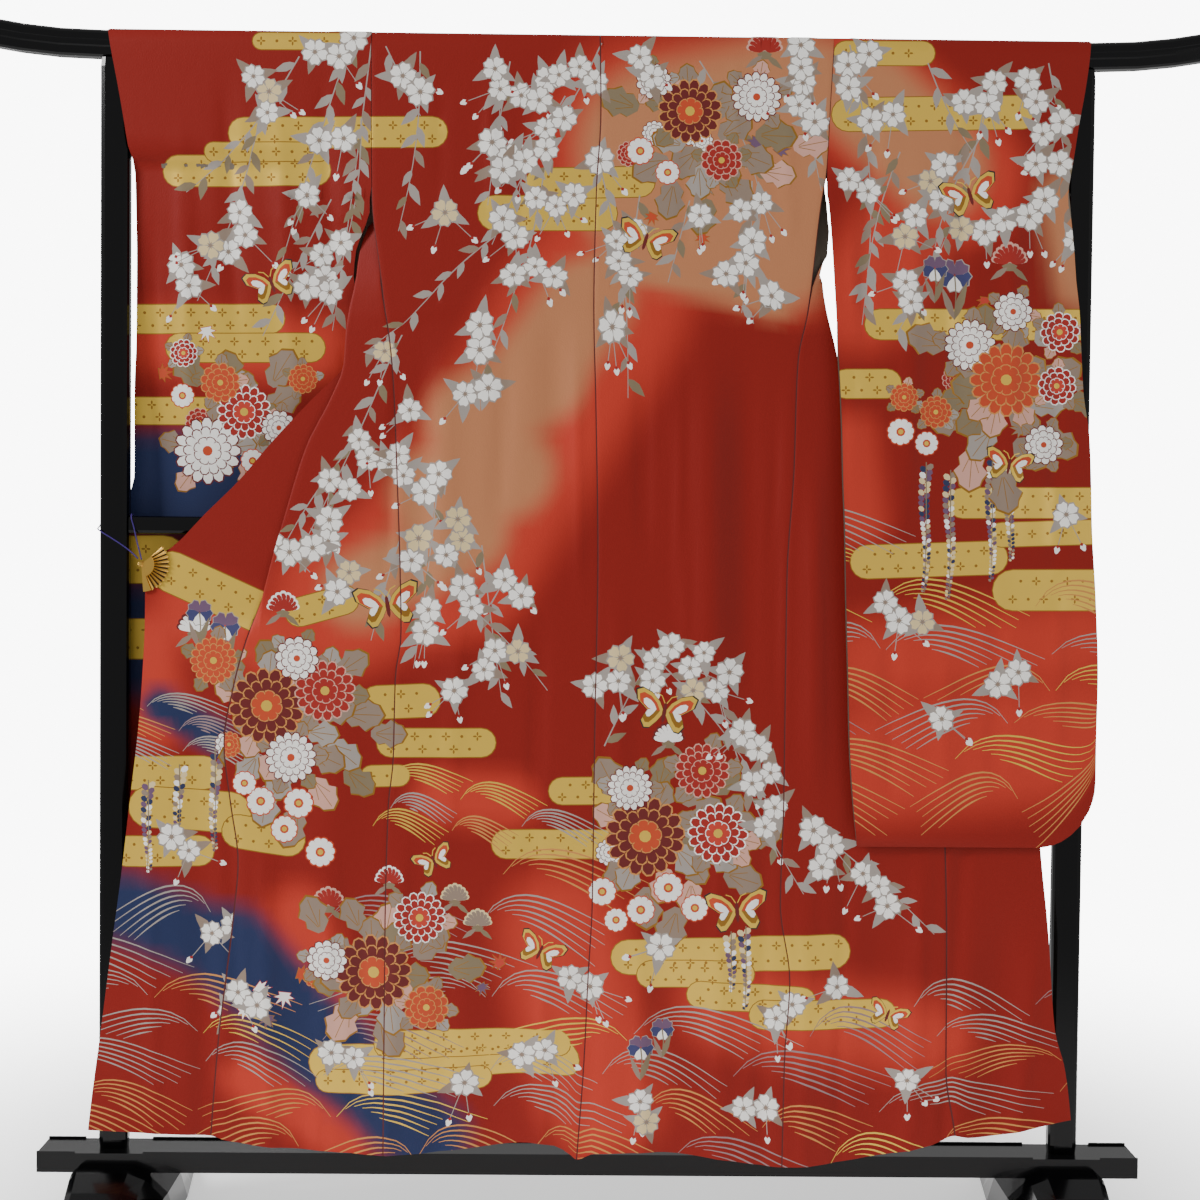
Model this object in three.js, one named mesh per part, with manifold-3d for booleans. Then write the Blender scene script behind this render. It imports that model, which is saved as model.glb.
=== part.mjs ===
// A furisode kimono, hung with its back to the viewer on a black lacquered kimono stand.
// Millimetres, +Z up. The back of the garment faces -Y, the floor is Z = 0 and X = 0 lies midway
// between the posts. The body hangs in front of the stand, the left sleeve passes behind the mid rail,
// the right sleeve lies over the right front, and a fan clip holds the left front corner to a post.
import * as THREE from "three";
import Module from "manifold-3d";

const wasm = await Module();
wasm.setup();

// ---------------------------------------------------------------- driving dimensions

const CLOTH = 1.6; // thickness of every cloth wall
const SEAM = 0.3; // gap between two pieces at a seam or a seat

const POST_SPACING = 1296; // centre to centre
const POST = { width: 39, depth: 26 };
const BASE = { half: 745, depth: 70, bottom: 58, top: 84, rim: 2.5, rimWidth: 3, pad: 92 };
const BEAM = { half: 866, bottom: 1556, straight: 662, lift: 0.0006 };
const RAIL = { bottom: 919.5, top: 943.5, depth: 22 };
const FOOT = { spacing: 1260, length: 400, rise: 68, toe: 22, narrow: 0.78 };

const HEM_LEVEL = 84; // nominal height of the hem
const SHEET = { topZ: 1572, topY: -17, hemY: -45 }; // the back hangs from the bar and leans forward
const FAR = 34; // from the near side of the bar to its far side, cloth to cloth
const FOLD_RADIUS = 2; // of a front panel where it turns under
const NECK = 64; // half the neck opening
const COLLAR_WIDTH = 55;
const COLLAR_BEHIND = 2.4; // the collar is turned under the front edges

const CLIP = { x: -607.5, z: 879, radius: 37, ribs: 10, from: 40, to: -86, knob: 5 };
const CORD_DIAMETER = 1.8;

// ---------------------------------------------------------------- tables

const table = (columns, ...rows) =>
  rows.map((row) => Object.fromEntries(columns.split(" ").map((name, i) => [name, row[i]])));

// Heights of the cross sections that the body pieces share, from under the bar to the hem.
const LEVELS = [
  1572, 1556, 1520, 1480, 1440, 1410, 1372, 1350, 1335, 1300, 1283, 1265, 1244, 1236, 1202, 1149,
  1101, 1041, 993, 946, 901, 878, 855, 832, 808, 784, 720, 640, 560, 480, 400, 320, 250, 190, 140,
  HEM_LEVEL,
];

// Cloth path over the bar: distance from the middle of the bar and height.
const OVER_BAR = table("y z", [0.32, 1595], [10.5, 1593.2], [16, 1585.5]);

const CENTRE_SEAM = table(
  "z x", [1594, 0], [1484, 2], [1386, -3], [1230, -5], [1105, -1], [865, 4], [659, 2], [435, 1],
  [324, -4], [220, -8], [84, -17],
);
const LEFT_SIDE = table(
  "z x", [1594, -306], [1372, -303], [1262, -288], [1209, -280], [1124, -272], [1022, -267],
  [877, -261], [787, -259], [732, -266], [620, -268], [558, -274], [392, -277], [84, -277],
);
const RIGHT_SIDE = table(
  "z x", [1594, 314], [1516, 310], [1412, 305], [1377, 299], [1282, 288], [1229, 280], [1166, 270],
  [1126, 268], [1022, 266], [868, 258], [569, 257], [430, 254], [325, 268], [221, 262], [84, 260],
);

// A front panel in plan at each height: its side edge, its outer fold and its okumi seam. out is how
// far the side edge stands out from the back's side line, the others hold an x and how far they lie
// behind the back's sheet. turn is 1 where the panel doubles under itself, 0 where it lies open.
const FRONT_COLUMNS = "z out sideBehind fold foldBehind seam seamBehind turn";
const LEFT_FRONT = table(
  FRONT_COLUMNS,
  [1594, 0, FAR, -186, FAR, -66, FAR, 0],
  [1556, 0, FAR, -192, FAR, -87, FAR, 0],
  [1480, 0, 32, -215, 32.5, -133, 33, 0],
  [1410, 0, 29, -265, 31, -177, 31, 0],
  [1372, -0.8, 23.5, -287, 25, -194, 28, 0],
  [1350, -2.5, 15, -297.5, 21, -201, 26, 0.5],
  [1335, -4, 12, -309, 18, -205, 24, 1],
  [1300, -3, 6, -320, 13, -216, 18.5, 1],
  [1265, 1.2, 0.6, -324, 8, -228, 14, 1],
  [1236, 0.5, 0, -331, 4.5, -238, 10.5, 1],
  [1202, 0.35, 0, -336, 2, -250, 7.5, 1],
  [1149, 0.35, 0, -339, 1, -276, 6, 1],
  [1101, 0.35, 0, -357, 1, -299, 5.4, 1],
  [1041, 0.35, 0, -387, 1, -328, 5.4, 1],
  [946, 0.35, 0, -416, 1, -371, 5.4, 1],
  [878, 0.35, 0, -435, 1, -408, 5.4, 1],
  [855, 0.35, 0, -440.5, 1, -428, 5.4, 1],
  [832, 0.35, 0, -446, 0.8, -446.5, 6, 0.85],
  [808, 0.35, 0, -449, 0.4, -455.5, 4.6, 0.45],
  [784, 0.35, 0, -451, 0, -464.5, 0, 0],
  [720, 0.35, 0, -468, 0, -482, 0, 0],
  [640, 0.35, 0, -481, 0, -495, 0, 0],
  [560, 0.35, 0, -472, 0, -486, 0, 0],
  [480, 0.35, 0, -461, 0, -475, 0, 0],
  [400, 0.35, 0, -468, 0, -482, 0, 0],
  [320, 0.35, 0, -477, 0, -491, 0, 0],
  [250, 0.35, 0, -485, 0, -499, 0, 0],
  [84, 0.35, 0, -496, 0, -510, 0, 0],
);
const RIGHT_FRONT = table(
  FRONT_COLUMNS,
  [1594, 0, FAR, 190, FAR, 66, FAR, 0],
  [1556, 0, FAR, 195, FAR, 86, FAR, 0],
  [1480, 0, 32.5, 218, 33, 130, 33, 0],
  [1410, 1, 31, 265, 31, 172, 31, 0],
  [1372, 11, 27, 285, 27, 190, 27, 0],
  [1350, 15, 23.5, 290, 24, 198, 25, 0],
  [1335, 18, 20.5, 294, 22, 203, 24, 0],
  [1300, 18, 11, 301, 14, 213, 20, 0.2],
  [1283, 6, 5, 300.5, 10.5, 220, 16.5, 0.7],
  [1265, 0.9, 0.6, 302, 6.5, 228, 12.5, 1],
  [1236, 0.5, 0, 307, 4, 238, 10, 1],
  [1202, 0.35, 0, 315, 2, 247, 7.5, 1],
  [1149, 0.35, 0, 325, 1, 264, 6, 1],
  [1101, 0.35, 0, 329, 1, 280, 5.4, 1],
  [1041, 0.35, 0, 338, 1, 298, 5.4, 1],
  [946, 0.35, 0, 379, 1, 342, 5.4, 1],
  [878, 0.35, 0, 416, 1, 384, 5.4, 1],
  [855, 0.35, 0, 428, 1, 415, 5.4, 1],
  [832, 0.35, 0, 437, 0.8, 437.5, 6, 0.85],
  [808, 0.35, 0, 440, 0.4, 446.5, 4.6, 0.45],
  [784, 0.35, 0, 441, 0, 454, 0, 0],
  [640, 0.35, 0, 454, 0, 468, 0, 0],
  [400, 0.35, 0, 465, 0, 479, 0, 0],
  [320, 0.35, 0, 466, 0, 480, 0, 0],
  [190, 0.35, 0, 467, 0, 481, 0, 0],
  [84, 0.35, 0, 480, 0, 494, 0, 0],
);

// Front edge of each okumi, which above the collar end is the line of the collar.
const EDGE_COLUMNS = "z x behind";
const LEFT_EDGE = table(
  EDGE_COLUMNS, [1594, -NECK, FAR], [1556, -87, FAR], [1480, -133, 33], [1410, -177, 32],
  [1372, -200, 31], [1335, -222, 27.5], [1300, -243, 22], [1265, -263, 17.5], [1236, -283, 14],
  [1202, -304, 11], [1149, -336, 9], [1101, -383, 8.5], [1041, -438, 8], [993, -478, 8],
  [946, -525, 8], [901, -568, 8], [878, -603, 7.6], [808, -603, 7], [722, -606, 5], [653, -611, 4],
  [561, -621, 3], [460, -632, 3], [366, -644, 3], [265, -656, 3], [84, -674, 3],
);
const RIGHT_EDGE = table(
  EDGE_COLUMNS, [1594, NECK, FAR], [1556, 86, FAR], [1480, 130, 33], [1410, 172, 32],
  [1372, 196, 30.5], [1335, 222, 27], [1300, 248, 22.5], [1265, 270, 16], [1236, 292, 13],
  [1202, 304, 11], [1149, 315, 9], [1101, 322, 8.5], [1041, 338, 8], [993, 366, 8], [946, 438, 8],
  [901, 538, 8], [886, 588, 7.5], [808, 588, 6], [722, 590, 3], [510, 604, 0], [399, 616, 0],
  [258, 627, 0], [185, 640, 0], [84, 650, 0],
);
const OKUMI_TOP = 1372; // the okumi's narrow tip

// The largest soft folds: a ridge has negative depth, a trough positive. drift leans the fold.
const FOLDS = table(
  "x top bottom width depth drift",
  [-232, 1225, 640, 26, 4, 0],
  [-206, 1225, 700, 20, -4, 0],
  [-56, 1240, 980, 22, 4, 0],
  [146, 1225, 640, 26, -7, 0.02],
  [200, 1225, 600, 28, 7, 0.02],
  [293, 1080, 520, 17, -6, 0.01],
  [-330, 760, 300, 34, -5, -0.1],
  [-545, 860, 84, 30, 5, 0.05],
  [-390, 420, 84, 34, 6, 0.02],
  [-130, 420, 84, 46, 8, 0],
  [110, 400, 84, 52, 8, 0],
  [395, 520, 84, 44, 7, -0.03],
  [560, 460, 84, 30, 6, -0.05],
);

// The hem line, from the left okumi to the right one.
const HEM = table(
  "x z", [-674, 118], [-509, 110], [-487, 104], [-349, 91], [-277, 87], [-154, 97], [-83, 105],
  [-53, 103], [-31, 94], [-16, 82], [7, 90], [90, 92], [177, 84], [264, 74], [287, 75], [391, 90],
  [468, 107], [493, 118], [513, 115], [650, 141],
);

// A sleeve's two layers in plan at each height: the free inner edge below the armhole, and the
// outer edge, open at the wrist and closed below it.
const EDGE = "z x y";
const LEFT_SLEEVE_NEAR = {
  inner: table(
    EDGE, [1350, -306, -17], [1335, -312, -14], [1300, -325, -10], [1265, -328, -7],
    [1236, -322, -4], [1180, -306, 1], [1120, -296, 5], [1060, -290, 10], [1000, -287, 14],
    [965, -286, 16.5], [700, -286, 19], [503, -286, 20],
  ),
  outer: table(
    EDGE, [1594, -657, -17], [1556, -650, -17], [1520, -643, -16.6], [1480, -636, -16],
    [1440, -629.4, -15.3], [1410, -623, 0], [1372, -621.5, 0], [1300, -620.5, 2], [1236, -621, 4],
    [1180, -622, 7], [1120, -625, 11], [1060, -626, 15.5], [1000, -627, 19.5], [965, -634, 21],
    [503, -636, 21],
  ),
};
const LEFT_SLEEVE_FAR = {
  inner: table(
    EDGE, [1350, -302.6, 8.6], [1335, -304, 11.5], [1300, -308, 16], [1236, -307, 22], [1180, -304, 23],
    [1120, -296, 24], [1060, -290, 25], [1000, -287, 26], [965, -286, 27], [700, -286, 28],
    [503, -286, 27],
  ),
  outer: table(
    EDGE, [1594, -657, 17], [1556, -650, 17], [1520, -645, 17.5], [1480, -638, 17.5],
    [1440, -630, 16.5], ...LEFT_SLEEVE_NEAR.outer.slice(5).map(({ z, x, y }) => [z, x, y]),
  ),
};
const RIGHT_SLEEVE_NEAR = {
  inner: table(
    EDGE, [1391, 305.8, -21], [1350, 310, -26], [1310, 313, -30], [1270, 315.5, -33.5],
    [1230, 318, -37], [1180, 321, -40], [1120, 325, -42.5], [1060, 328, -44], [1000, 330, -45],
    [940, 333, -46], [838, 336, -47.4], [735, 340, -49], [650, 343, -50], [590, 347, -50.5],
    [510, 355, -51],
  ),
  outer: table(
    EDGE, [1594, 659, -17], [1556, 655, -17.3], [1520, 650, -18], [1480, 643, -19], [1440, 637, -21],
    [1410, 632, -23], [1391, 629, -25], [1350, 633, -28], [1310, 637, -30], [1270, 640, -31.5],
    [1230, 645, -32.5], [1180, 648, -33], [1120, 652, -34], [1060, 661, -35], [1000, 664, -36],
    [940, 666, -37], [838, 673, -38], [735, 677, -40], [650, 676, -41], [510, 676, -43],
  ),
};
const RIGHT_SLEEVE_FAR = {
  inner: table(
    EDGE, [1391, 309, 10], [1350, 315.5, -2], [1310, 318.5, -14], [1270, 319.5, -22.5],
    [1230, 320, -28.5], [1180, 321, -29.6], [1120, 325, -30.5], [1060, 328, -31.4],
    [1000, 330, -32.3], [940, 333, -33.3], [838, 336, -34.8], [735, 340, -36.4], [650, 343, -37.7],
    [590, 347, -38.6], [510, 355, -40],
  ),
  outer: table(
    EDGE, [1594, 659, 17], [1556, 652, 17], [1520, 636, 17], [1480, 622, 14], [1440, 620, 1],
    [1410, 621, -15], ...RIGHT_SLEEVE_NEAR.outer.slice(6).map(({ z, x, y }) => [z, x, y]),
  ),
};
const SLEEVE_COLUMN_AT = [0, 0.16, 0.33, 0.5, 0.66, 0.8, 0.91, 0.975, 1]; // inner edge 0, outer 1
const SLEEVE_FALL = [0.62, 0.36, 0.18, 0.07, 0]; // last rows, as a share of the height above the bottom
const LEFT_SLEEVE = {
  side: -1, near: LEFT_SLEEVE_NEAR, far: LEFT_SLEEVE_FAR, armhole: 1372, wrist: 1410, bottom: 503,
  cornerWidth: 76, cornerRise: 82, levels: [1572, 1556, 1520, 1480, 1440, 1410, 1372, 1350, 1335,
    1300, 1265, 1236, 1180, 1120, 1060, 1000, 965, 900, 800, 700],
};
const RIGHT_SLEEVE = {
  side: 1, near: RIGHT_SLEEVE_NEAR, far: RIGHT_SLEEVE_FAR, armhole: 1410, wrist: 1391, bottom: 510,
  cornerWidth: 78, cornerRise: 90, levels: [1572, 1556, 1520, 1480, 1440, 1410, 1391, 1350, 1310,
    1270, 1230, 1180, 1120, 1060, 1000, 900, 800, 700],
};

// The tie cord, from the clip's knob up over the mid rail, round the post and back to the knob.
const CORD_ROUTE = table(
  "x y z",
  [-608.6, -20.4, 885.2], [-611, -18.5, 893], [-616, -15.4, 910], [-621, -12.9, 930],
  [-624, -12.6, 940], [-624.6, -10.6, 945], [-625.2, -2, 945.4], [-625.8, 8, 945.4],
  [-628.5, 14.6, 944.6], [-636, 16, 942], [-648, 15, 940], [-660, 14.6, 937], [-669.4, 11.5, 933],
  [-669.6, 0, 929], [-669.4, -11, 925.5], [-664, -14.8, 922], [-650, -14.8, 913.5],
  [-634, -15, 903], [-622, -16.6, 894], [-613.6, -19, 886.4],
);

// ---------------------------------------------------------------- small helpers

const mix = (a, b, t) => a + (b - a) * t;
const clamp = (v) => Math.min(1, Math.max(0, v));
const smooth = (v) => clamp(v) ** 2 * (3 - 2 * clamp(v));

// Value of a column between the rows of a table, smooth and without overshoot.
function at(rows, column, key, value) {
  const sign = rows[0][key] > rows[rows.length - 1][key] ? -1 : 1;
  const t = sign * value;
  const last = rows.length - 1;
  if (t <= sign * rows[0][key]) return rows[0][column];
  if (t >= sign * rows[last][key]) return rows[last][column];
  const i = rows.findIndex((row) => sign * row[key] > t) - 1;
  const slope = (k) =>
    (rows[k + 1][column] - rows[k][column]) / (sign * (rows[k + 1][key] - rows[k][key]));
  const tangent = (k) => {
    if (k === 0) return slope(0);
    if (k === last) return slope(last - 1);
    const [before, after] = [slope(k - 1), slope(k)];
    return before * after <= 0 ? 0 : (2 * before * after) / (before + after);
  };
  const step = sign * (rows[i + 1][key] - rows[i][key]);
  const u = (t - sign * rows[i][key]) / step;
  const [u2, u3] = [u * u, u * u * u];
  return (2 * u3 - 3 * u2 + 1) * rows[i][column] + (u3 - 2 * u2 + u) * step * tangent(i) +
    (3 * u2 - 2 * u3) * rows[i + 1][column] + (u3 - u2) * step * tangent(i + 1);
}

const byZ = (rows, column, z) => at(rows, column, "z", z);
const vec = (x, y, z) => new THREE.Vector3(x, y, z);

function geometryOf(points, triangles) {
  const geometry = new THREE.BufferGeometry();
  geometry.setAttribute("position", new THREE.Float32BufferAttribute(points.flatMap((p) => p.toArray()), 3));
  geometry.setIndex(triangles.flat());
  return geometry;
}

// Six times the volume inside a closed set of triangles; negative when they face inwards.
function signedVolume(points, triangles) {
  return triangles.reduce((sum, [a, b, c]) => sum + points[a].dot(vec(0, 0, 0).crossVectors(points[b], points[c])), 0);
}

function closedGeometry(points, triangles) {
  const facing = signedVolume(points, triangles) < 0 ? triangles.map(([a, b, c]) => [a, c, b]) : triangles;
  return geometryOf(points, facing);
}

// A cloth wall on a mid-surface of quads: both faces offset along the normals, rims on open edges.
function wall(points, quads, thickness = CLOTH) {
  const faces = quads.flatMap(([a, b, c, d]) =>
    points[a].distanceTo(points[c]) < points[b].distanceTo(points[d])
      ? [[a, b, c], [a, c, d]]
      : [[a, b, d], [b, c, d]]);
  const normals = points.map(() => vec(0, 0, 0));
  for (const [a, b, c] of faces) {
    const n = vec(0, 0, 0).crossVectors(points[b].clone().sub(points[a]), points[c].clone().sub(points[a]));
    [a, b, c].forEach((k) => normals[k].add(n));
  }
  normals.forEach((n) => n.normalize());
  const count = points.length;
  const shell = [
    ...points.map((p, k) => p.clone().addScaledVector(normals[k], thickness / 2)),
    ...points.map((p, k) => p.clone().addScaledVector(normals[k], -thickness / 2)),
  ];
  const triangles = [...faces, ...faces.map(([a, b, c]) => [a + count, c + count, b + count])];
  const edges = new Map();
  for (const face of faces) {
    face.forEach((a, k) => edges.set(`${a},${face[(k + 1) % 3]}`, [a, face[(k + 1) % 3]]));
  }
  for (const [a, b] of edges.values()) {
    if (!edges.has(`${b},${a}`)) triangles.push([b, a, a + count], [b, a + count, b + count]);
  }
  return closedGeometry(shell, triangles);
}

// A cloth wall on a grid of mid-surface points.
function sheet(grid, thickness = CLOTH) {
  const width = grid[0].length;
  const quads = [];
  for (let i = 0; i + 1 < grid.length; i++) {
    for (let j = 0; j + 1 < width; j++) {
      const k = i * width + j;
      quads.push([k, k + 1, k + 1 + width, k + width]);
    }
  }
  return wall(grid.flat(), quads, thickness);
}

// A solid through rings of the same number of points, with flat ends.
function loft(rings, outline) {
  const count = rings[0].length;
  const points = rings.flat();
  const triangles = [];
  for (let i = 0; i + 1 < rings.length; i++) {
    for (let j = 0; j < count; j++) {
      const [a, b] = [i * count + j, i * count + ((j + 1) % count)];
      triangles.push([a, b, b + count], [a, b + count, a + count]);
    }
  }
  const cap = THREE.ShapeUtils.triangulateShape(outline.map(([a, b]) => new THREE.Vector2(a, b)), []);
  const end = (rings.length - 1) * count;
  const ccw = THREE.ShapeUtils.area(outline.map(([a, b]) => new THREE.Vector2(a, b))) > 0;
  for (const [a, b, c] of cap) {
    triangles.push(ccw ? [a, c, b] : [a, b, c], ccw ? [end + a, end + b, end + c] : [end + a, end + c, end + b]);
  }
  return closedGeometry(points, triangles);
}

function manifold(geometry) {
  const position = geometry.getAttribute("position");
  const keys = new Map();
  const vertices = [];
  const merged = Array.from({ length: position.count }, (_, i) => {
    const key = [position.getX(i), position.getY(i), position.getZ(i)].map((v) => v.toFixed(4)).join();
    if (!keys.has(key)) {
      keys.set(key, vertices.length / 3);
      vertices.push(position.getX(i), position.getY(i), position.getZ(i));
    }
    return keys.get(key);
  });
  const index = geometry.index ? Array.from(geometry.index.array) : merged.map((_, i) => i);
  return new wasm.Manifold(new wasm.Mesh({
    numProp: 3,
    vertProperties: new Float32Array(vertices),
    triVerts: new Uint32Array(index.map((i) => merged[i])),
  }));
}

function geometryFrom(solid) {
  const { vertProperties, triVerts } = solid.getMesh();
  const geometry = new THREE.BufferGeometry();
  geometry.setAttribute("position", new THREE.BufferAttribute(new Float32Array(vertProperties), 3));
  geometry.setIndex(Array.from(triVerts));
  return geometry;
}

const box = (x0, x1, y0, y1, z0, z1) =>
  manifold(new THREE.BoxGeometry(x1 - x0, y1 - y0, z1 - z0).translate((x0 + x1) / 2, (y0 + y1) / 2, (z0 + z1) / 2));

// ---------------------------------------------------------------- the body of the garment

const lean = (z) => mix(SHEET.topY, SHEET.hemY, (SHEET.topZ - z) / (SHEET.topZ - HEM_LEVEL));

// Depth of the soft folds at a place on the body's sheet.
function folds(x, z) {
  return FOLDS.reduce((sum, fold) => {
    const fade = (fold.top - fold.bottom) * 0.35;
    const open = fold.bottom <= HEM_LEVEL ? 1 : smooth((z - fold.bottom) / fade);
    const centre = fold.x + fold.drift * (fold.top - z);
    return sum + fold.depth * open * smooth((fold.top - z) / fade) * Math.exp(-(((x - centre) / fold.width) ** 2));
  }, 0);
}

// The growth tuck: a shallow step across the body, higher at the centre seam than at the sides.
const TUCK = { z: 1240, step: 1.8, rise: 15, reach: 260 };
const tuckStep = (z) => (z < TUCK.z ? -TUCK.step * smooth((z - 1202) / (1236 - 1202)) : 0);
const tuckBow = (x, z) =>
  TUCK.rise * (1 - 2 * Math.min(1, Math.abs(x) / TUCK.reach) ** 2) * Math.exp(-(((z - TUCK.z) / 50) ** 2));

// A point of the body: x, how far behind the back's sheet, and the height of its section.
function place(x, behind, z) {
  const hem = smooth((300 - z) / (300 - HEM_LEVEL)) * (at(HEM, "z", "x", x) - HEM_LEVEL);
  const onSheet = clamp(1 - behind / 12);
  return vec(x, lean(z) + behind + folds(x, z) + tuckStep(z) * onSheet, z + hem + tuckBow(x, z) * onSheet);
}

const overBar = (xs, side) =>
  OVER_BAR.map(({ y, z }) => xs.map((x) => vec(x, side * y, z)));

function backPanel(side, columns = 8) {
  const sideLine = side < 0 ? LEFT_SIDE : RIGHT_SIDE;
  const row = (z) => {
    const from = byZ(CENTRE_SEAM, "x", z) + (side * SEAM) / 2;
    const to = byZ(sideLine, "x", z);
    return Array.from({ length: columns + 1 }, (_, j) => mix(from, to, j / columns));
  };
  return sheet([
    ...overBar(row(1594), -1),
    ...LEVELS.map((z) => row(z).map((x) => place(x, 0, z))),
  ]);
}

// Plan of a front panel at one height: side edge, along to the fold, round it, and on to the seam.
function frontSection(rows, side, z) {
  const value = (column) => byZ(rows, column, z);
  const edge = { x: byZ(side < 0 ? LEFT_SIDE : RIGHT_SIDE, "x", z) + side * value("out"), b: value("sideBehind") };
  const fold = { x: value("fold"), b: value("foldBehind") };
  const seam = { x: value("seam"), b: value("seamBehind") };
  const run = Math.hypot(seam.x - edge.x, seam.b - edge.b);
  const along = { x: (seam.x - edge.x) / run, b: (seam.b - edge.b) / run };
  const turn = Array.from({ length: 5 }, (_, k) => {
    const angle = ((k - 2) * Math.PI) / 4;
    const flat = { x: fold.x + along.x * (k - 2) * FOLD_RADIUS, b: fold.b + along.b * (k - 2) * FOLD_RADIUS };
    const round = {
      x: fold.x - side * FOLD_RADIUS * (1 - Math.cos(angle)),
      b: fold.b + FOLD_RADIUS * (1 + Math.sin(angle)),
    };
    return { x: mix(flat.x, round.x, value("turn")), b: mix(flat.b, round.b, value("turn")) };
  });
  const line = (from, to, steps) =>
    Array.from({ length: steps }, (_, k) => ({ x: mix(from.x, to.x, k / steps), b: mix(from.b, to.b, k / steps) }));
  return [...line(edge, turn[0], 4), ...turn.slice(0, 4), ...line(turn[4], seam, 3), seam];
}

function frontPanel(rows, side) {
  const top = frontSection(rows, side, 1594).map(({ x }) => x);
  return sheet([
    ...overBar(top, 1),
    ...LEVELS.map((z) => frontSection(rows, side, z).map(({ x, b }) => place(x, b, z))),
  ]);
}

const OKUMI_BEHIND = 2.3; // behind the front panel's return, where their seam is turned under

function okumiPanel(front, edge, side, columns = 4) {
  const row = (z) => {
    const turned = z > 900 ? 1 : smooth(byZ(front, "turn", z) * 2.2);
    const from = byZ(front, "seam", z) + side * 1.5 * SEAM * (1 - turned);
    const fromBehind = byZ(front, "seamBehind", z) + OKUMI_BEHIND * turned;
    const [to, toBehind] = [byZ(edge, "x", z), byZ(edge, "behind", z)];
    return Array.from({ length: columns + 1 }, (_, j) =>
      place(mix(from, to, j / columns), mix(fromBehind, toBehind, j / columns), z));
  };
  return sheet(LEVELS.filter((z) => z <= OKUMI_TOP).map(row));
}

// The collar's path down the far side of the bar, by its distance from the crest.
const COLLAR_FALL = table("s y z", [0, 0.5, 1595], [10.5, 10.8, 1593.2], [20, 16.3, 1585.5], [33.5, 17.4, 1572],
  [80, 17.8, 1525.5]);

// The collar: a band sewn to the neck and to both front edges, hanging free on the far side.
function collar() {
  const across = (make) => [0, 0.19, 0.38, 0.65, 1].map(make);
  const neck = (share, start) => across((t) => vec(share * mix(NECK - 1, NECK / 2 + start / 4, t),
    at(COLLAR_FALL, "y", "s", start + COLLAR_WIDTH * t), at(COLLAR_FALL, "z", "s", start + COLLAR_WIDTH * t)));
  const front = (edge, side, low) => [...LEVELS.filter((z) => z > low + 12), low].map((z) => {
    const slope = (byZ(edge, "x", z - 4) - byZ(edge, "x", z + 4)) / -8;
    const angle = Math.max(Math.atan(Math.abs(slope)), z > 1550 ? THREE.MathUtils.degToRad(mix(40, 50, (z - 1556) / 16)) : 0);
    const x = byZ(edge, "x", z) - (z > 1560 ? side * 1.5 : 0);
    const behind = byZ(edge, "behind", z) + COLLAR_BEHIND;
    return across((t) => place(x - side * Math.cos(angle) * COLLAR_WIDTH * t, behind,
      z - Math.sin(angle) * COLLAR_WIDTH * t));
  });
  return sheet([
    ...front(LEFT_EDGE, -1, 878).reverse(),
    neck(-1, 20), neck(-1, 10.5), ...[-1, -0.5, 0, 0.5, 1].map((share) => neck(share, 0)), neck(1, 10.5), neck(1, 20),
    ...front(RIGHT_EDGE, 1, 886),
  ]);
}

// ---------------------------------------------------------------- the sleeves

// Height of a sleeve's bottom edge at a share of its width: flat, then round at the outer corner.
function sleeveBottom(sleeve, width, share) {
  const into = (share - 1 + sleeve.cornerWidth / width) / (sleeve.cornerWidth / width);
  return sleeve.bottom + (into > 0 ? sleeve.cornerRise * (1 - Math.sqrt(1 - Math.min(1, into) ** 2)) : 0);
}

// Where a sleeve layer is sewn to the body: the near layer to the back, the far one to the front.
function armholeEdge(side, layer, z) {
  if (layer === "near") return place(byZ(side < 0 ? LEFT_SIDE : RIGHT_SIDE, "x", z) + side * SEAM, 0, z);
  const { x, b } = frontSection(side < 0 ? LEFT_FRONT : RIGHT_FRONT, side, z)[0];
  return place(x + side * 1.5 * SEAM, b, z);
}

// One layer's row of points. Near the closed edges the layer draws in to the seam between the two.
function sleeveRow(sleeve, layer, z, fall) {
  const ends = (which, height) => {
    const { inner, outer } = sleeve[which];
    return [
      height >= sleeve.armhole
        ? armholeEdge(sleeve.side, which, height)
        : vec(byZ(inner, "x", height), byZ(inner, "y", height), height),
      vec(byZ(outer, "x", height), byZ(outer, "y", height), height),
    ];
  };
  const other = layer === "near" ? "far" : "near";
  return SLEEVE_COLUMN_AT.map((share) => {
    const [inner, outer] = ends(layer, z);
    const bottom = sleeveBottom(sleeve, Math.abs(outer.x - inner.x), share);
    const height = fall === null ? z : mix(bottom, z, fall);
    const own = ends(layer, height);
    const facing = ends(other, height);
    const y = mix(own[0].y, own[1].y, share);
    const closed = fall === null ? 1 : Math.min(1, Math.sqrt(fall * 2.4));
    return vec(mix(own[0].x, own[1].x, share), mix((y + mix(facing[0].y, facing[1].y, share)) / 2, y, closed), height);
  });
}

function sleeveLayer(sleeve, layer) {
  return [
    ...sleeve.levels.map((z) => sleeveRow(sleeve, layer, z, null)),
    ...SLEEVE_FALL.map((fall) => sleeveRow(sleeve, layer, 700, fall)),
  ];
}

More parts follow.
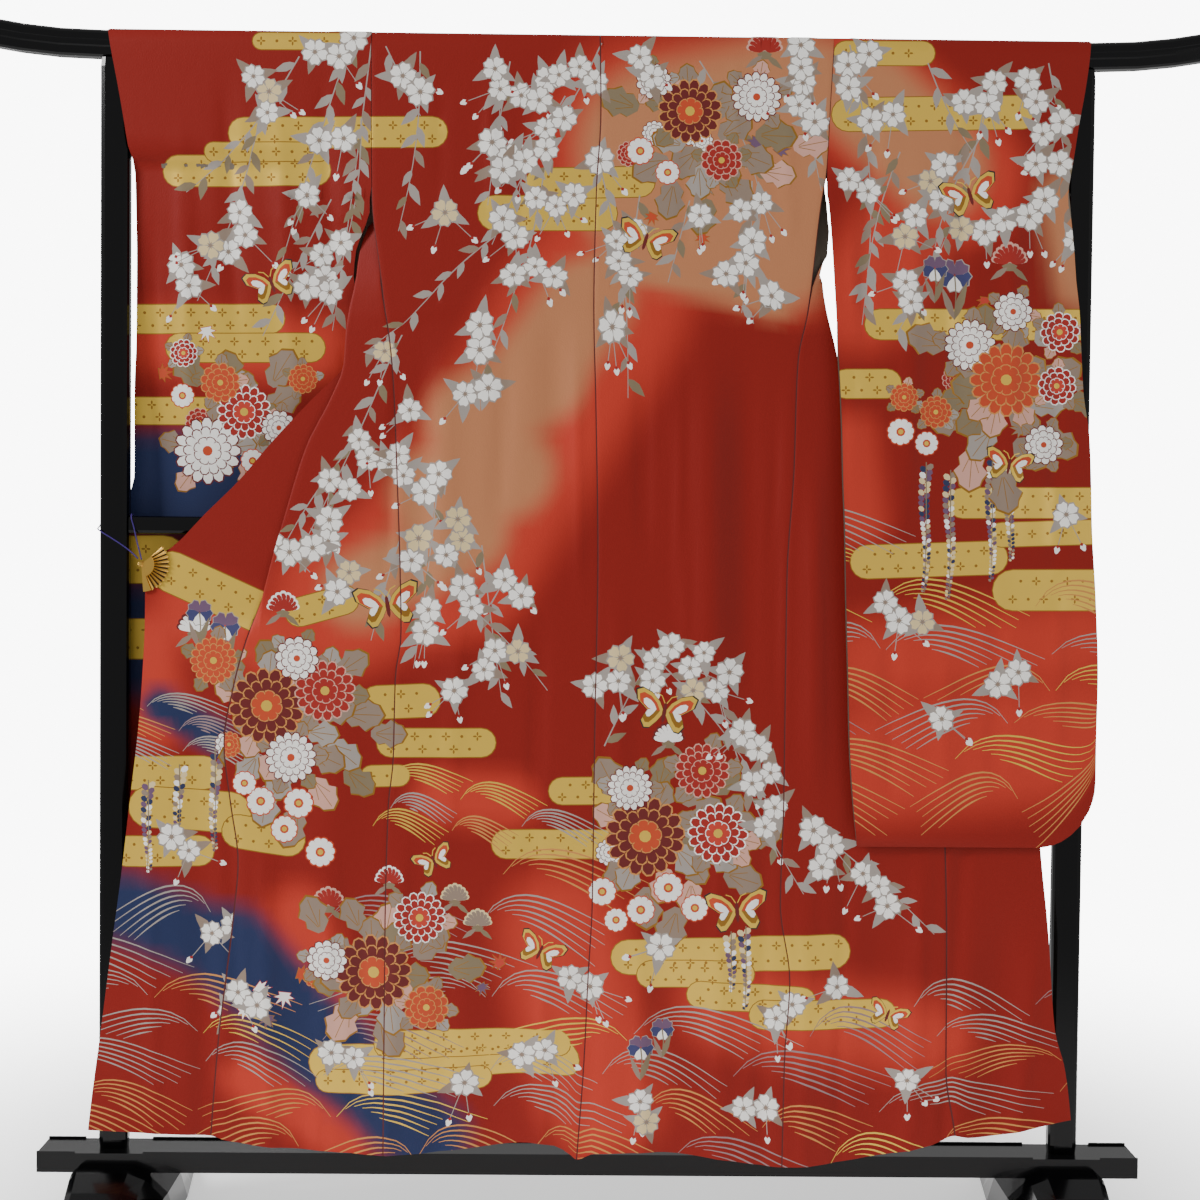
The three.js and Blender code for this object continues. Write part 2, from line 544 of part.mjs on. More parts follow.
// Both layers run from the top of the bar; they share the shoulder, the outer edge below the
// wrist opening and the bottom edge.
function sleevePanel(sleeve) {
  const near = sleeveLayer(sleeve, "near");
  const far = sleeveLayer(sleeve, "far");
  const xs = SLEEVE_COLUMN_AT.map((share) =>
    mix(armholeEdge(sleeve.side, "near", 1594).x, byZ(sleeve.near.outer, "x", 1594), share));
  const crest = xs.map((x) => vec(x, 0, OVER_BAR[0].z));
  const shoulder = (side) => OVER_BAR.slice(1).map(({ y, z }) => xs.map((x) => vec(x, side * y, z)));
  const layers = [[crest, ...shoulder(-1), ...near], [crest, ...shoulder(1), ...far]];
  const points = [];
  const ids = new Map();
  const id = (point) => {
    if (!ids.has(point)) {
      ids.set(point, points.length);
      points.push(point);
    }
    return ids.get(point);
  };
  const lastColumn = SLEEVE_COLUMN_AT.length - 1;
  const [nearRows, farRows] = layers;
  const wristRow = 3 + sleeve.levels.indexOf(sleeve.wrist);
  farRows.forEach((row, i) => {
    if (i >= wristRow) row[lastColumn] = nearRows[i][lastColumn];
    if (i === farRows.length - 1) row.forEach((_, j) => (row[j] = nearRows[i][j]));
  });
  const quads = layers.flatMap((rows, k) =>
    rows.slice(1).flatMap((row, i) =>
      row.slice(1).map((_, j) => {
        const quad = [rows[i][j], rows[i][j + 1], rows[i + 1][j + 1], rows[i + 1][j]].map(id);
        return k === 0 ? quad : quad.reverse();
      })));
  return wall(points, quads);
}

// ---------------------------------------------------------------- the stand

// Half of the top beam's moulded section: depth and height above its underside.
const BEAM_PROFILE = table(
  "y z", [9, 0], [13, 2.5], [13.4, 12.5], [15, 14.5], [15.6, 18], [15, 21.5], [13, 23.5], [12.6, 31],
  [10.6, 34], [6, 36.6],
);

const mirrored = (profile) => [
  ...profile.map(({ y, z }) => [y, z]),
  ...profile.toReversed().map(({ y, z }) => [-y, z]),
];

function topBeam() {
  const outline = mirrored(BEAM_PROFILE);
  const over = (x) => Math.max(0, Math.abs(x) - BEAM.straight);
  const shares = [0, 0.3, 0.55, 0.78, 1];
  const ends = shares.map((share) => BEAM.straight + (BEAM.half - BEAM.straight) * share);
  const stations = [...ends.toReversed().map((x) => -x), ...ends];
  return loft(stations.map((x) => {
    const slope = 2 * BEAM.lift * over(x) * Math.sign(x);
    const tilt = Math.atan(slope);
    const base = BEAM.bottom + BEAM.lift * over(x) ** 2;
    const last = Math.abs(x) === BEAM.half ? 0.72 : 1;
    return outline.map(([y, z]) => {
      const rise = (z - 18.3) * last + 18.3;
      return vec(x - Math.sin(tilt) * rise, y * last, base + Math.cos(tilt) * rise);
    });
  }), outline);
}

// Rounded rectangle, counter-clockwise, from its width and depth.
function rounded(width, depth, corner) {
  const cuts = [[1, 0], [0.3, 0.3], [0, 1]];
  const quarter = (sx, sy, flip) =>
    (flip ? cuts.toReversed() : cuts).map(([a, b]) => [sx * (width / 2 - corner * b), sy * (depth / 2 - corner * a)]);
  return [...quarter(1, -1, true), ...quarter(1, 1, false), ...quarter(-1, 1, true), ...quarter(-1, -1, false)];
}

function post() {
  const outline = rounded(POST.width, POST.depth, 7);
  const levels = [BASE.top + SEAM, BASE.top + 12, BEAM.bottom - 12, BEAM.bottom - SEAM];
  return loft(levels.map((z, i) => {
    const drawn = i === 0 || i === 3 ? 0.94 : 1;
    return outline.map(([x, y]) => vec(x * drawn, y * drawn, z));
  }), outline);
}

function midRail() {
  const height = RAIL.top - RAIL.bottom;
  const outline = rounded(RAIL.depth, height, 5);
  const reach = POST_SPACING / 2 - POST.width / 2 - SEAM;
  return loft([-reach, reach].map((x) => outline.map(([y, z]) => vec(x, y, z + RAIL.bottom + height / 2))), outline);
}

// A long flat beam with low rims along both edges, left out where the posts stand.
function baseBeam() {
  let solid = box(-BASE.half, BASE.half, -BASE.depth / 2, BASE.depth / 2, BASE.bottom, BASE.top);
  const inner = POST_SPACING / 2 - BASE.pad / 2;
  const outer = POST_SPACING / 2 + BASE.pad / 2;
  for (const side of [-1, 1]) {
    const edge = (side * BASE.depth) / 2;
    const [y0, y1] = [Math.min(edge, edge - side * BASE.rimWidth), Math.max(edge, edge - side * BASE.rimWidth)];
    for (const [x0, x1] of [[-BASE.half, -outer], [-inner, inner], [outer, BASE.half]]) {
      solid = solid.add(box(x0, x1, y0, y1, BASE.top - 1, BASE.top + BASE.rim));
    }
  }
  return geometryFrom(solid);
}

// A flared foot, front to back under the base beam, flat below and let in to take the beam. Its
// ridge stands out from the middle, under the post. out is measured away from the other foot.
const FOOT_PROFILE = table(
  "out share", [74, 0], [72, 0.5], [66, 0.86], [56, 1], [-14, 1], [-38, 0.86], [-64, 0.5], [-74, 0],
);

function foot(side) {
  const half = FOOT.length / 2;
  const spans = [half, half - 7, half - 50, half - 95, 64, 44];
  const stations = [...spans.map((y) => -y), ...spans.toReversed()];
  const rings = stations.map((y) => {
    const reach = clamp((Math.abs(y) - 44) / (half - 44));
    const top = mix(FOOT.rise, FOOT.toe, smooth(reach)) - (Math.abs(y) === half ? 6 : 0);
    const width = mix(1, FOOT.narrow, reach) * (Math.abs(y) === half ? 0.95 : 1);
    return FOOT_PROFILE.map(({ out, share }) => vec(side * out * width, y, top * share));
  });
  const beam = box(-200, 200, -BASE.depth / 2 - SEAM, BASE.depth / 2 + SEAM, BASE.bottom - SEAM, 100);
  return geometryFrom(manifold(loft(rings, FOOT_PROFILE.map(({ out, share }) => [side * out, share]))).subtract(beam));
}

// ---------------------------------------------------------------- what holds the left corner

const CORNER_Y = lean(878) + byZ(LEFT_EDGE, "behind", 878); // middle of the cloth at the left corner

// A pleated fan in front of the cloth, a jaw behind it, and a knob past its edge that joins them.
function fanClip() {
  const front = CORNER_Y - CLOTH / 2 - SEAM - 2;
  const back = CORNER_Y + COLLAR_BEHIND + CLOTH / 2 + 2 * SEAM;
  const steps = CLIP.ribs * 2;
  const fan = sheet(Array.from({ length: steps + 1 }, (_, i) => {
    const angle = THREE.MathUtils.degToRad(mix(CLIP.from, CLIP.to, i / steps));
    return [0.1, 0.45, 0.97, 1.03].map((share) => {
      const pleat = (i % 2 ? 1.1 : 0) * Math.min(1, share * 1.3);
      const reach = CLIP.radius * share;
      return vec(CLIP.x + Math.cos(angle) * reach, front - pleat, CLIP.z + Math.sin(angle) * reach);
    });
  }), 1.4);
  const jawOutline = [[-4, 3], [-4, -3], [4, -5], [22, -9], [24, 2], [4, 5]];
  const jaw = loft([0, 1.4].map((d) => jawOutline.map(([x, z]) => vec(CLIP.x + x, back + d, CLIP.z + z))), jawOutline);
  const knob = new THREE.LatheGeometry(
    [[0, front - 3.6], [2.6, front - 3.2], [CLIP.knob - 1, front - 1.6], [CLIP.knob - 1, back + 1], [0, back + 1.2]]
      .map(([r, y]) => new THREE.Vector2(r, y)), 16).translate(CLIP.x - 1.2, 0, 0).applyMatrix4(
    new THREE.Matrix4().makeTranslation(0, 0, CLIP.z));
  const knobSolid = manifold(knob);
  return geometryFrom(manifold(fan).add(manifold(jaw)).add(knobSolid));
}

function tieCord() {
  const route = new THREE.CatmullRomCurve3(CORD_ROUTE.map(({ x, y, z }) => vec(x, y, z)), false, "centripetal");
  const steps = 48;
  const radius = CORD_DIAMETER / 2;
  const circle = Array.from({ length: 8 }, (_, k) => [Math.cos((k * Math.PI) / 4), Math.sin((k * Math.PI) / 4)]);
  const { normals, binormals } = route.computeFrenetFrames(steps, false);
  const rings = Array.from({ length: steps + 1 }, (_, i) => {
    const centre = route.getPointAt(i / steps);
    return circle.map(([a, b]) =>
      centre.clone().addScaledVector(normals[i], a * radius).addScaledVector(binormals[i], b * radius));
  });
  return loft(rings, circle);
}

// ---------------------------------------------------------------- materials and assembly

const finish = (color, roughness, metalness = 0) => new THREE.MeshStandardMaterial({ color, roughness, metalness });
const RED_CREPE = finish("#b2281a", 0.62);
const LACQUER = finish("#08080a", 0.16);
const GILT = finish("#c99a3c", 0.32, 1);
const PURPLE_CORD = finish("#3a2370", 0.7);

const group = new THREE.Group();

function add(name, geometry, material, x = 0) {
  const mesh = new THREE.Mesh(geometry, material);
  mesh.name = name;
  mesh.position.x = x;
  group.add(mesh);
}

add("back_left", backPanel(-1), RED_CREPE);
add("back_right", backPanel(1), RED_CREPE);
add("front_left", frontPanel(LEFT_FRONT, -1), RED_CREPE);
add("front_right", frontPanel(RIGHT_FRONT, 1), RED_CREPE);
add("okumi_left", okumiPanel(LEFT_FRONT, LEFT_EDGE, -1), RED_CREPE);
add("okumi_right", okumiPanel(RIGHT_FRONT, RIGHT_EDGE, 1), RED_CREPE);
add("collar", collar(), RED_CREPE);
add("sleeve_left", sleevePanel(LEFT_SLEEVE), RED_CREPE);
add("sleeve_right", sleevePanel(RIGHT_SLEEVE), RED_CREPE);

add("top_beam", topBeam(), LACQUER);
for (const [side, at] of [["left", -1], ["right", 1]]) {
  add(`post_${side}`, post(), LACQUER, (at * POST_SPACING) / 2);
  add(`foot_${side}`, foot(at), LACQUER, (at * FOOT.spacing) / 2);
}
add("mid_rail", midRail(), LACQUER);
add("base_beam", baseBeam(), LACQUER);
add("fan_clip", fanClip(), GILT);
add("tie_cord", tieCord(), PURPLE_CORD);

export default group;
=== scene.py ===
# %% [markdown]
# # A furisode kimono on a kimono stand
# The garment hangs with its back to the viewer. Its body falls in front of a black lacquered stand,
# the left sleeve passes behind the mid rail, the right sleeve lies over the right front, and a gilt
# fan clip holds the left front corner to a post. Sizes below are in millimetres unless a name says
# otherwise, and Blender gets metres.

import math
import random

import bmesh
import bpy
import numpy as np
from mathutils import Matrix, Vector
from mathutils.bvhtree import BVHTree
from mathutils.geometry import delaunay_2d_cdt


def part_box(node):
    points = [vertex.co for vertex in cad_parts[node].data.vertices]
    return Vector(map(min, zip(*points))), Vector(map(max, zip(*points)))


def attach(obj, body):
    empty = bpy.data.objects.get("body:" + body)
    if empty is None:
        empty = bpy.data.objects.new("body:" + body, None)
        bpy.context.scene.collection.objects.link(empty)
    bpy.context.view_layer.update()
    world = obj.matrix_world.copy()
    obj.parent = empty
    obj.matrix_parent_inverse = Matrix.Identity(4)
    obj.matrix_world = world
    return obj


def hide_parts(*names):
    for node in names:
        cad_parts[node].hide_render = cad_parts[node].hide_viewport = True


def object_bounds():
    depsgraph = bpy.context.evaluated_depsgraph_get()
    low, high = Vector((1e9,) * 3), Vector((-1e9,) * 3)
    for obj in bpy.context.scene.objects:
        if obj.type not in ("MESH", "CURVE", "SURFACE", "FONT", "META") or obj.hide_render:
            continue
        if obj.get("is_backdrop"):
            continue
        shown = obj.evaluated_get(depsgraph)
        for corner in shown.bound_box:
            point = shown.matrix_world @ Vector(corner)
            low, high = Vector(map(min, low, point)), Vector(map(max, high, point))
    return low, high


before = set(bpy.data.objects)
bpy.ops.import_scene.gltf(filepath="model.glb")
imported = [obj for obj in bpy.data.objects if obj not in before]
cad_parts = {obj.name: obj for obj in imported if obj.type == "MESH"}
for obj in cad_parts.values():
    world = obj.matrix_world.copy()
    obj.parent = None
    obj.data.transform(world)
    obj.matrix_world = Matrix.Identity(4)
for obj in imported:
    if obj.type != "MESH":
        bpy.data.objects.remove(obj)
cad_box = [list(corner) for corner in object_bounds()]
MM = 0.001
print("frame:", len(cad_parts), "nodes, box", [[round(v, 3) for v in c] for c in cad_box])

# %% [markdown]
# The camera stands 2.8 m in front of the bar, a little to the left and at chest height, and is turned
# by less than a degree each way, as a hand-set tripod is.

# %% Camera
CAMERA_AT = Vector((-0.0278, -2.8, 0.9343))
YAW, PITCH, ROLL = (math.radians(angle) for angle in (0.724, -2.009, 0.584))
FIELD_OF_VIEW = math.radians(32.4)

forward = Vector((math.sin(YAW) * math.cos(PITCH), math.cos(YAW) * math.cos(PITCH), math.sin(PITCH)))
level = forward.cross(Vector((0, 0, 1))).normalized()
right = math.cos(ROLL) * level + math.sin(ROLL) * level.cross(forward)
camera = bpy.data.objects.new("camera", bpy.data.cameras.new("camera"))
camera.data.angle = FIELD_OF_VIEW
camera.data.clip_start = 0.05
camera.matrix_world = Matrix.Translation(CAMERA_AT) @ Matrix(
    (right, right.cross(forward), -forward)).transposed().to_4x4()
bpy.context.scene.collection.objects.link(camera)
bpy.context.scene.camera = camera

# %% [markdown]
# Studio light: a white room that is bright to look at and dim to be lit by, so that the lacquer stays
# black, with a large soft light high on the left, a weaker one on the right and one behind. Two slim
# upright strips draw the bright lines that run down lacquered posts.

# %% Light
ROOM_GLOW, ROOM_LIGHT = 9.0, 0.48
world = bpy.data.worlds.new("studio")
world.use_nodes = True
room = world.node_tree
lit = room.nodes["Background"]
seen = room.nodes.new("ShaderNodeBackground")
for shade, strength in ((lit, ROOM_LIGHT), (seen, ROOM_GLOW)):
    shade.inputs["Color"].default_value = (1, 1, 1, 1)
    shade.inputs["Strength"].default_value = strength
either = room.nodes.new("ShaderNodeMixShader")
room.links.new(room.nodes.new("ShaderNodeLightPath").outputs["Is Camera Ray"], either.inputs[0])
room.links.new(lit.outputs[0], either.inputs[1])
room.links.new(seen.outputs[0], either.inputs[2])
room.links.new(either.outputs[0], room.nodes["World Output"].inputs["Surface"])
bpy.context.scene.world = world


def area_light(name, at, target, size, watts, tall=None):
    light = bpy.data.objects.new(name, bpy.data.lights.new(name, "AREA"))
    light.data.shape = "RECTANGLE"
    light.data.size, light.data.size_y = size, tall or size
    light.data.energy = watts
    light.location = at
    light.rotation_euler = (Vector(target) - Vector(at)).to_track_quat("-Z", "Y").to_euler()
    bpy.context.scene.collection.objects.link(light)


area_light("key", (-3.3, -1.6, 2.8), (0, 0, 0.9), 1.0, 124)
area_light("fill", (2.6, -2.4, 1.6), (0, 0, 0.8), 1.8, 18)
area_light("back", (-1.4, 2.8, 2.2), (0, 0, 0.9), 1.6, 34)
area_light("left strip", (-2.6, 0.45, 1.0), (-0.6, 0, 0.9), 0.4, 20, 2.0)
area_light("right strip", (2.6, 0.45, 1.0), (0.6, 0, 0.9), 0.4, 20, 2.0)


# %% [markdown]
# Shader maths is written as plain expressions on sockets, and every other node comes from one call.

# %% Shader helpers
class Socket:
    """A node's output that takes part in arithmetic."""

    def __init__(self, tree, output):
        self.tree, self.output = tree, output

    def node(self, kind, settings=None, **inputs):
        made = self.tree.nodes.new(kind)
        for key, value in (settings or {}).items():
            setattr(made, key, value)
        for key, value in inputs.items():
            target = made.inputs[int(key[1:]) if key[0] == "_" else key.replace("_", " ")]
            if isinstance(value, Socket):
                self.tree.links.new(value.output, target)
            else:
                target.default_value = value
        return Socket(self.tree, made.outputs[0])

    def math(self, operation, a, b):
        return self.node("ShaderNodeMath", {"operation": operation}, _0=a, _1=b)

    def __add__(self, other):
        return self.math("ADD", self, other)

    def __radd__(self, other):
        return self.math("ADD", other, self)

    def __sub__(self, other):
        return self.math("SUBTRACT", self, other)

    def __rsub__(self, other):
        return self.math("SUBTRACT", other, self)

    def __mul__(self, other):
        return self.math("MULTIPLY", self, other)

    def __rmul__(self, other):
        return self.math("MULTIPLY", other, self)


def linear(colour):
    """Linear RGBA from 8-bit sRGB values."""
    return tuple((c / 255 / 12.92) if c < 11 else ((c / 255 + 0.055) / 1.055) ** 2.4 for c in colour) + (1.0,)


def material(name, colour, roughness, metallic=0.0, weave=0.0, painted=None, **uniform):
    """A principled material. weave is the height of a fine crepe, painted a colour attribute."""
    made = bpy.data.materials.new(name)
    made.use_nodes = True
    made.diffuse_color = linear(colour)
    tree = made.node_tree
    shader = tree.nodes["Principled BSDF"]
    shader.inputs["Base Color"].default_value = linear(colour)
    shader.inputs["Roughness"].default_value = roughness
    shader.inputs["Metallic"].default_value = metallic
    for key, value in uniform.items():
        shader.inputs[key.replace("_", " ")].default_value = value
    start = Socket(tree, None)
    if painted:
        paint = tree.nodes.new("ShaderNodeAttribute")
        paint.attribute_name = painted
        tree.links.new(paint.outputs["Color"], shader.inputs["Base Color"])
    if weave:
        place_in_space = Socket(tree, tree.nodes.new("ShaderNodeNewGeometry").outputs["Position"])
        fine = start.node("ShaderNodeTexNoise", Vector=place_in_space, Scale=520.0, Detail=2.0)
        slub = start.node("ShaderNodeTexNoise", Vector=place_in_space, Scale=70.0, Detail=1.0)
        bump = start.node("ShaderNodeBump", Height=fine + 0.6 * slub, Strength=weave, Distance=0.001)
        tree.links.new(bump.output, shader.inputs["Normal"])
    return made


# %% [markdown]
# The palette of the print: each dye is one plain silk, the gold is a thin foil, and the ground is red
# shaded into coral, tan and navy.

# %% Palette
PALETTE = {
    "red": (136, 16, 2), "coral": (192, 52, 33), "tan": (188, 122, 82), "navy": (28, 40, 80),
    "white": (255, 252, 246), "cream": (226, 202, 150), "blush": (214, 160, 142), "crimson": (100, 7, 4),
    "scarlet": (156, 22, 8), "orange": (194, 64, 20), "taupe": (142, 122, 106), "grey": (160, 150, 142),
    "moss": (128, 112, 84), "ochre": (204, 136, 66), "mauve": (148, 122, 122), "purple": (104, 74, 104),
    "indigo": (52, 54, 104), "black": (26, 22, 26),
}
GOLDS = {"gold": (232, 192, 76), "old gold": (156, 110, 34)}
SILK = [material("silk ground", PALETTE["red"], 0.62, weave=0.3, painted="ground", Sheen_Weight=0.04,
                  Specular_IOR_Level=0.3)]
SILK += [material("silk " + name, colour, 0.62) for name, colour in PALETTE.items()]
SILK += [material(name, colour, 0.42, 0.5) for name, colour in GOLDS.items()]
COLOUR_INDEX = {name: i + 1 for i, name in enumerate([*PALETTE, *GOLDS])}
LINING = material("lining", (112, 100, 86), 0.7)
# The seam material is painted seam shade: a dark red that stands in for the shadow in the dip along each sewn
# seam. The turned edges of the cloth take the same dark red.
SEAM_SHADE_AND_EDGE_RED = material("painted seam shade and turned edge", (84, 14, 12), 0.7)
LACQUER = material("black lacquer", (3, 3, 4), 0.16, Coat_Weight=0.15, Coat_Roughness=0.04,
                   Specular_IOR_Level=0.2)
GILT = material("gilt", (226, 180, 88), 0.3, 1.0)
DARK_GILT = material("dark gilt", (52, 32, 12), 0.5, 0.6)
PURPLE_CORD = material("purple cord", (58, 34, 118), 0.7)


# %% [markdown]
# Tables are read through smooth curves that never overshoot their rows.

# %% Curves
def rows(columns, values):
    """Rows with named columns."""
    names = columns.split()
    return [dict(zip(names, row)) for row in values]


class Curve:
    """Monotone cubic through (key, value) rows, held level past both ends."""

    def __init__(self, pairs):
        self.k, self.v = np.array(sorted(pairs), float).T
        step = np.diff(self.v) / np.diff(self.k)
        same = step[:-1] * step[1:] > 0
        total = np.where(same, step[:-1] + step[1:], 1)
        inner = np.where(same, 2 * step[:-1] * step[1:] / total, 0)
        self.slope = np.concatenate([step[:1], inner, step[-1:]])

    def __call__(self, key):
        key = np.clip(key, self.k[0], self.k[-1])
        i = np.clip(np.searchsorted(self.k, key, side="right") - 1, 0, len(self.k) - 2)
        h = self.k[i + 1] - self.k[i]
        u = (key - self.k[i]) / h
        return ((2 * u**3 - 3 * u**2 + 1) * self.v[i] + (u**3 - 2 * u**2 + u) * h * self.slope[i]
                + (3 * u**2 - 2 * u**3) * self.v[i + 1] + (u**3 - u**2) * h * self.slope[i + 1])


def curves(columns, *values):
    """A Curve for each column, over the first one."""
    names = columns.split()
    return {name: Curve([(row[0], row[i]) for row in values]) for i, name in enumerate(names) if i}


def mix(a, b, t):
    return a + (b - a) * t


def smooth(v):
    v = np.clip(v, 0, 1)
    return v * v * (3 - 2 * v)


# %% [markdown]
# The form of the garment. These are the same sections as its solids have: heights from the floor, and
# x from the middle of the stand. A front panel is given in plan at each height by its side edge, the
# fold it makes and its seam with the okumi.

# %% Sections
HEM, BAR = 84.0, 1572.0
SHEET = {"top y": -17.0, "hem y": -45.0}
FAR = 34.0
FOLD_RADIUS, OKUMI_BEHIND, COLLAR_BEHIND = 2.0, 2.3, 2.4
NECK, COLLAR_WIDTH, OKUMI_TOP = 64.0, 55.0, 1372.0
CREST = BAR + 36.0  # the cloth's path over the bar, measured on from the height of the bar's side
OVER_BAR = curves("w y z", (BAR, 17, BAR), (BAR + 13.6, 16, 1585.5), (BAR + 23, 10.5, 1593.2),
                  (CREST, 0, 1595))
CENTRE_SEAM = curves(
    "z x",
    (1594, 0), (1484, 2), (1386, -3), (1230, -5), (1105, -1), (865, 4), (659, 2), (435, 1), (324, -4),
    (220, -8), (84, -17),
)
LEFT_SIDE = curves(
    "z x",
    (1594, -306), (1372, -303), (1262, -288), (1209, -280), (1124, -272), (1022, -267), (877, -261),
    (787, -259), (732, -266), (620, -268), (558, -274), (392, -277), (84, -277),
)
RIGHT_SIDE = curves(
    "z x",
    (1594, 314), (1516, 310), (1412, 305), (1377, 299), (1282, 288), (1229, 280), (1166, 270),
    (1126, 268), (1022, 266), (868, 258), (569, 257), (430, 254), (325, 268), (221, 262), (84, 260),
)
LEFT_FRONT = curves(
    "z out side_behind fold fold_behind seam seam_behind turn",
    (1594, 0, FAR, -186, FAR, -66, FAR, 0), (1556, 0, FAR, -192, FAR, -87, FAR, 0),
    (1480, 0, 32, -215, 32.5, -133, 33, 0), (1410, 0, 29, -265, 31, -177, 31, 0),
    (1372, -0.8, 23.5, -287, 25, -194, 28, 0), (1350, -2.5, 15, -297.5, 21, -201, 26, 0.5),
    (1335, -4, 12, -309, 18, -205, 24, 1), (1300, -3, 6, -320, 13, -216, 18.5, 1),
    (1265, 1.2, 0.6, -324, 8, -228, 14, 1), (1236, 0.5, 0, -331, 4.5, -238, 10.5, 1),
    (1202, 0.35, 0, -336, 2, -250, 7.5, 1), (1149, 0.35, 0, -339, 1, -276, 6, 1),
    (1101, 0.35, 0, -357, 1, -299, 5.4, 1), (1041, 0.35, 0, -387, 1, -328, 5.4, 1),
    (946, 0.35, 0, -416, 1, -371, 5.4, 1), (878, 0.35, 0, -435, 1, -408, 5.4, 1),
    (855, 0.35, 0, -440.5, 1, -428, 5.4, 1), (832, 0.35, 0, -446, 0.8, -446.5, 6, 0.85),
    (808, 0.35, 0, -449, 0.4, -455.5, 4.6, 0.45), (784, 0.35, 0, -451, 0, -464.5, 0, 0),
    (720, 0.35, 0, -468, 0, -482, 0, 0), (640, 0.35, 0, -481, 0, -495, 0, 0),
    (560, 0.35, 0, -472, 0, -486, 0, 0), (480, 0.35, 0, -461, 0, -475, 0, 0),
    (400, 0.35, 0, -468, 0, -482, 0, 0), (320, 0.35, 0, -477, 0, -491, 0, 0),
    (250, 0.35, 0, -485, 0, -499, 0, 0), (84, 0.35, 0, -496, 0, -510, 0, 0),
)
RIGHT_FRONT = curves(
    "z out side_behind fold fold_behind seam seam_behind turn",
    (1594, 0, FAR, 190, FAR, 66, FAR, 0), (1556, 0, FAR, 195, FAR, 86, FAR, 0),
    (1480, 0, 32.5, 218, 33, 130, 33, 0), (1410, 1, 31, 265, 31, 172, 31, 0),
    (1372, 11, 27, 285, 27, 190, 27, 0), (1350, 15, 23.5, 290, 24, 198, 25, 0),
    (1335, 18, 20.5, 294, 22, 203, 24, 0), (1300, 18, 11, 301, 14, 213, 20, 0.2),
    (1283, 6, 5, 300.5, 10.5, 220, 16.5, 0.7), (1265, 0.9, 0.6, 302, 6.5, 228, 12.5, 1),
    (1236, 0.5, 0, 307, 4, 238, 10, 1), (1202, 0.35, 0, 315, 2, 247, 7.5, 1),
    (1149, 0.35, 0, 325, 1, 264, 6, 1), (1101, 0.35, 0, 329, 1, 280, 5.4, 1),
    (1041, 0.35, 0, 338, 1, 298, 5.4, 1), (946, 0.35, 0, 379, 1, 342, 5.4, 1),
    (878, 0.35, 0, 416, 1, 384, 5.4, 1), (855, 0.35, 0, 428, 1, 415, 5.4, 1),
    (832, 0.35, 0, 437, 0.8, 437.5, 6, 0.85), (808, 0.35, 0, 440, 0.4, 446.5, 4.6, 0.45),
    (784, 0.35, 0, 441, 0, 454, 0, 0), (640, 0.35, 0, 454, 0, 468, 0, 0),
    (400, 0.35, 0, 465, 0, 479, 0, 0), (320, 0.35, 0, 466, 0, 480, 0, 0),
    (190, 0.35, 0, 467, 0, 481, 0, 0), (84, 0.35, 0, 480, 0, 494, 0, 0),
)
LEFT_EDGE = curves(
    "z x behind",
    (1594, -NECK, FAR), (1556, -87, FAR), (1480, -133, 33), (1410, -177, 32), (1372, -200, 31),
    (1335, -222, 27.5), (1300, -243, 22), (1265, -263, 17.5), (1236, -283, 14), (1202, -304, 11),
    (1149, -336, 9), (1101, -383, 8.5), (1041, -438, 8), (993, -478, 8), (946, -525, 8), (901, -568, 8),
    (878, -603, 7.6), (808, -603, 7), (722, -606, 5), (653, -611, 4), (561, -621, 3), (460, -632, 3),
    (366, -644, 3), (265, -656, 3), (84, -674, 3),
)
RIGHT_EDGE = curves(
    "z x behind",
    (1594, NECK, FAR), (1556, 86, FAR), (1480, 130, 33), (1410, 172, 32), (1372, 196, 30.5),
    (1335, 222, 27), (1300, 248, 22.5), (1265, 270, 16), (1236, 292, 13), (1202, 304, 11),
    (1149, 315, 9), (1101, 322, 8.5), (1041, 338, 8), (993, 366, 8), (946, 438, 8), (901, 538, 8),
    (886, 588, 7.5), (808, 588, 6), (722, 590, 3), (510, 604, 0), (399, 616, 0), (258, 627, 0),
    (185, 640, 0), (84, 650, 0),
)
HEM_LINE = curves(
    "x z",
    (-674, 118), (-509, 110), (-487, 104), (-349, 91), (-277, 87), (-154, 97), (-83, 105), (-53, 103),
    (-31, 94), (-16, 82), (7, 90), (90, 92), (177, 84), (264, 74), (287, 75), (391, 90), (468, 107),
    (493, 118), (513, 115), (650, 141),
)
# Where a sleeve is closed, both its layers have the same outer edge.
LEFT_CLOSED_EDGE = (
    (1410, -623, 0), (1372, -621.5, 0), (1300, -620.5, 2), (1236, -621, 4), (1180, -622, 7),
    (1120, -625, 11), (1060, -626, 15.5), (1000, -627, 19.5), (965, -634, 21), (503, -636, 21),
)
RIGHT_CLOSED_EDGE = (
    (1391, 629, -25), (1350, 633, -28), (1310, 637, -30), (1270, 640, -31.5),
    (1230, 645, -32.5), (1180, 648, -33), (1120, 652, -34), (1060, 661, -35), (1000, 664, -36),
    (940, 666, -37), (838, 673, -38), (735, 677, -40), (650, 676, -41), (510, 676, -43),
)
LEFT_SLEEVE_NEAR_INNER = curves(
    "z x y",
    (1350, -306, -17), (1335, -312, -14), (1300, -325, -10), (1265, -328, -7), (1236, -322, -4),
    (1180, -306, 1), (1120, -296, 5), (1060, -290, 10), (1000, -287, 14), (965, -286, 16.5),
    (700, -286, 19), (503, -286, 20),
)
LEFT_SLEEVE_NEAR_OUTER = curves(
    "z x y",
    (1594, -657, -17), (1556, -650, -17), (1520, -643, -16.6), (1480, -636, -16), (1440, -629.4, -15.3),
    *LEFT_CLOSED_EDGE,
)
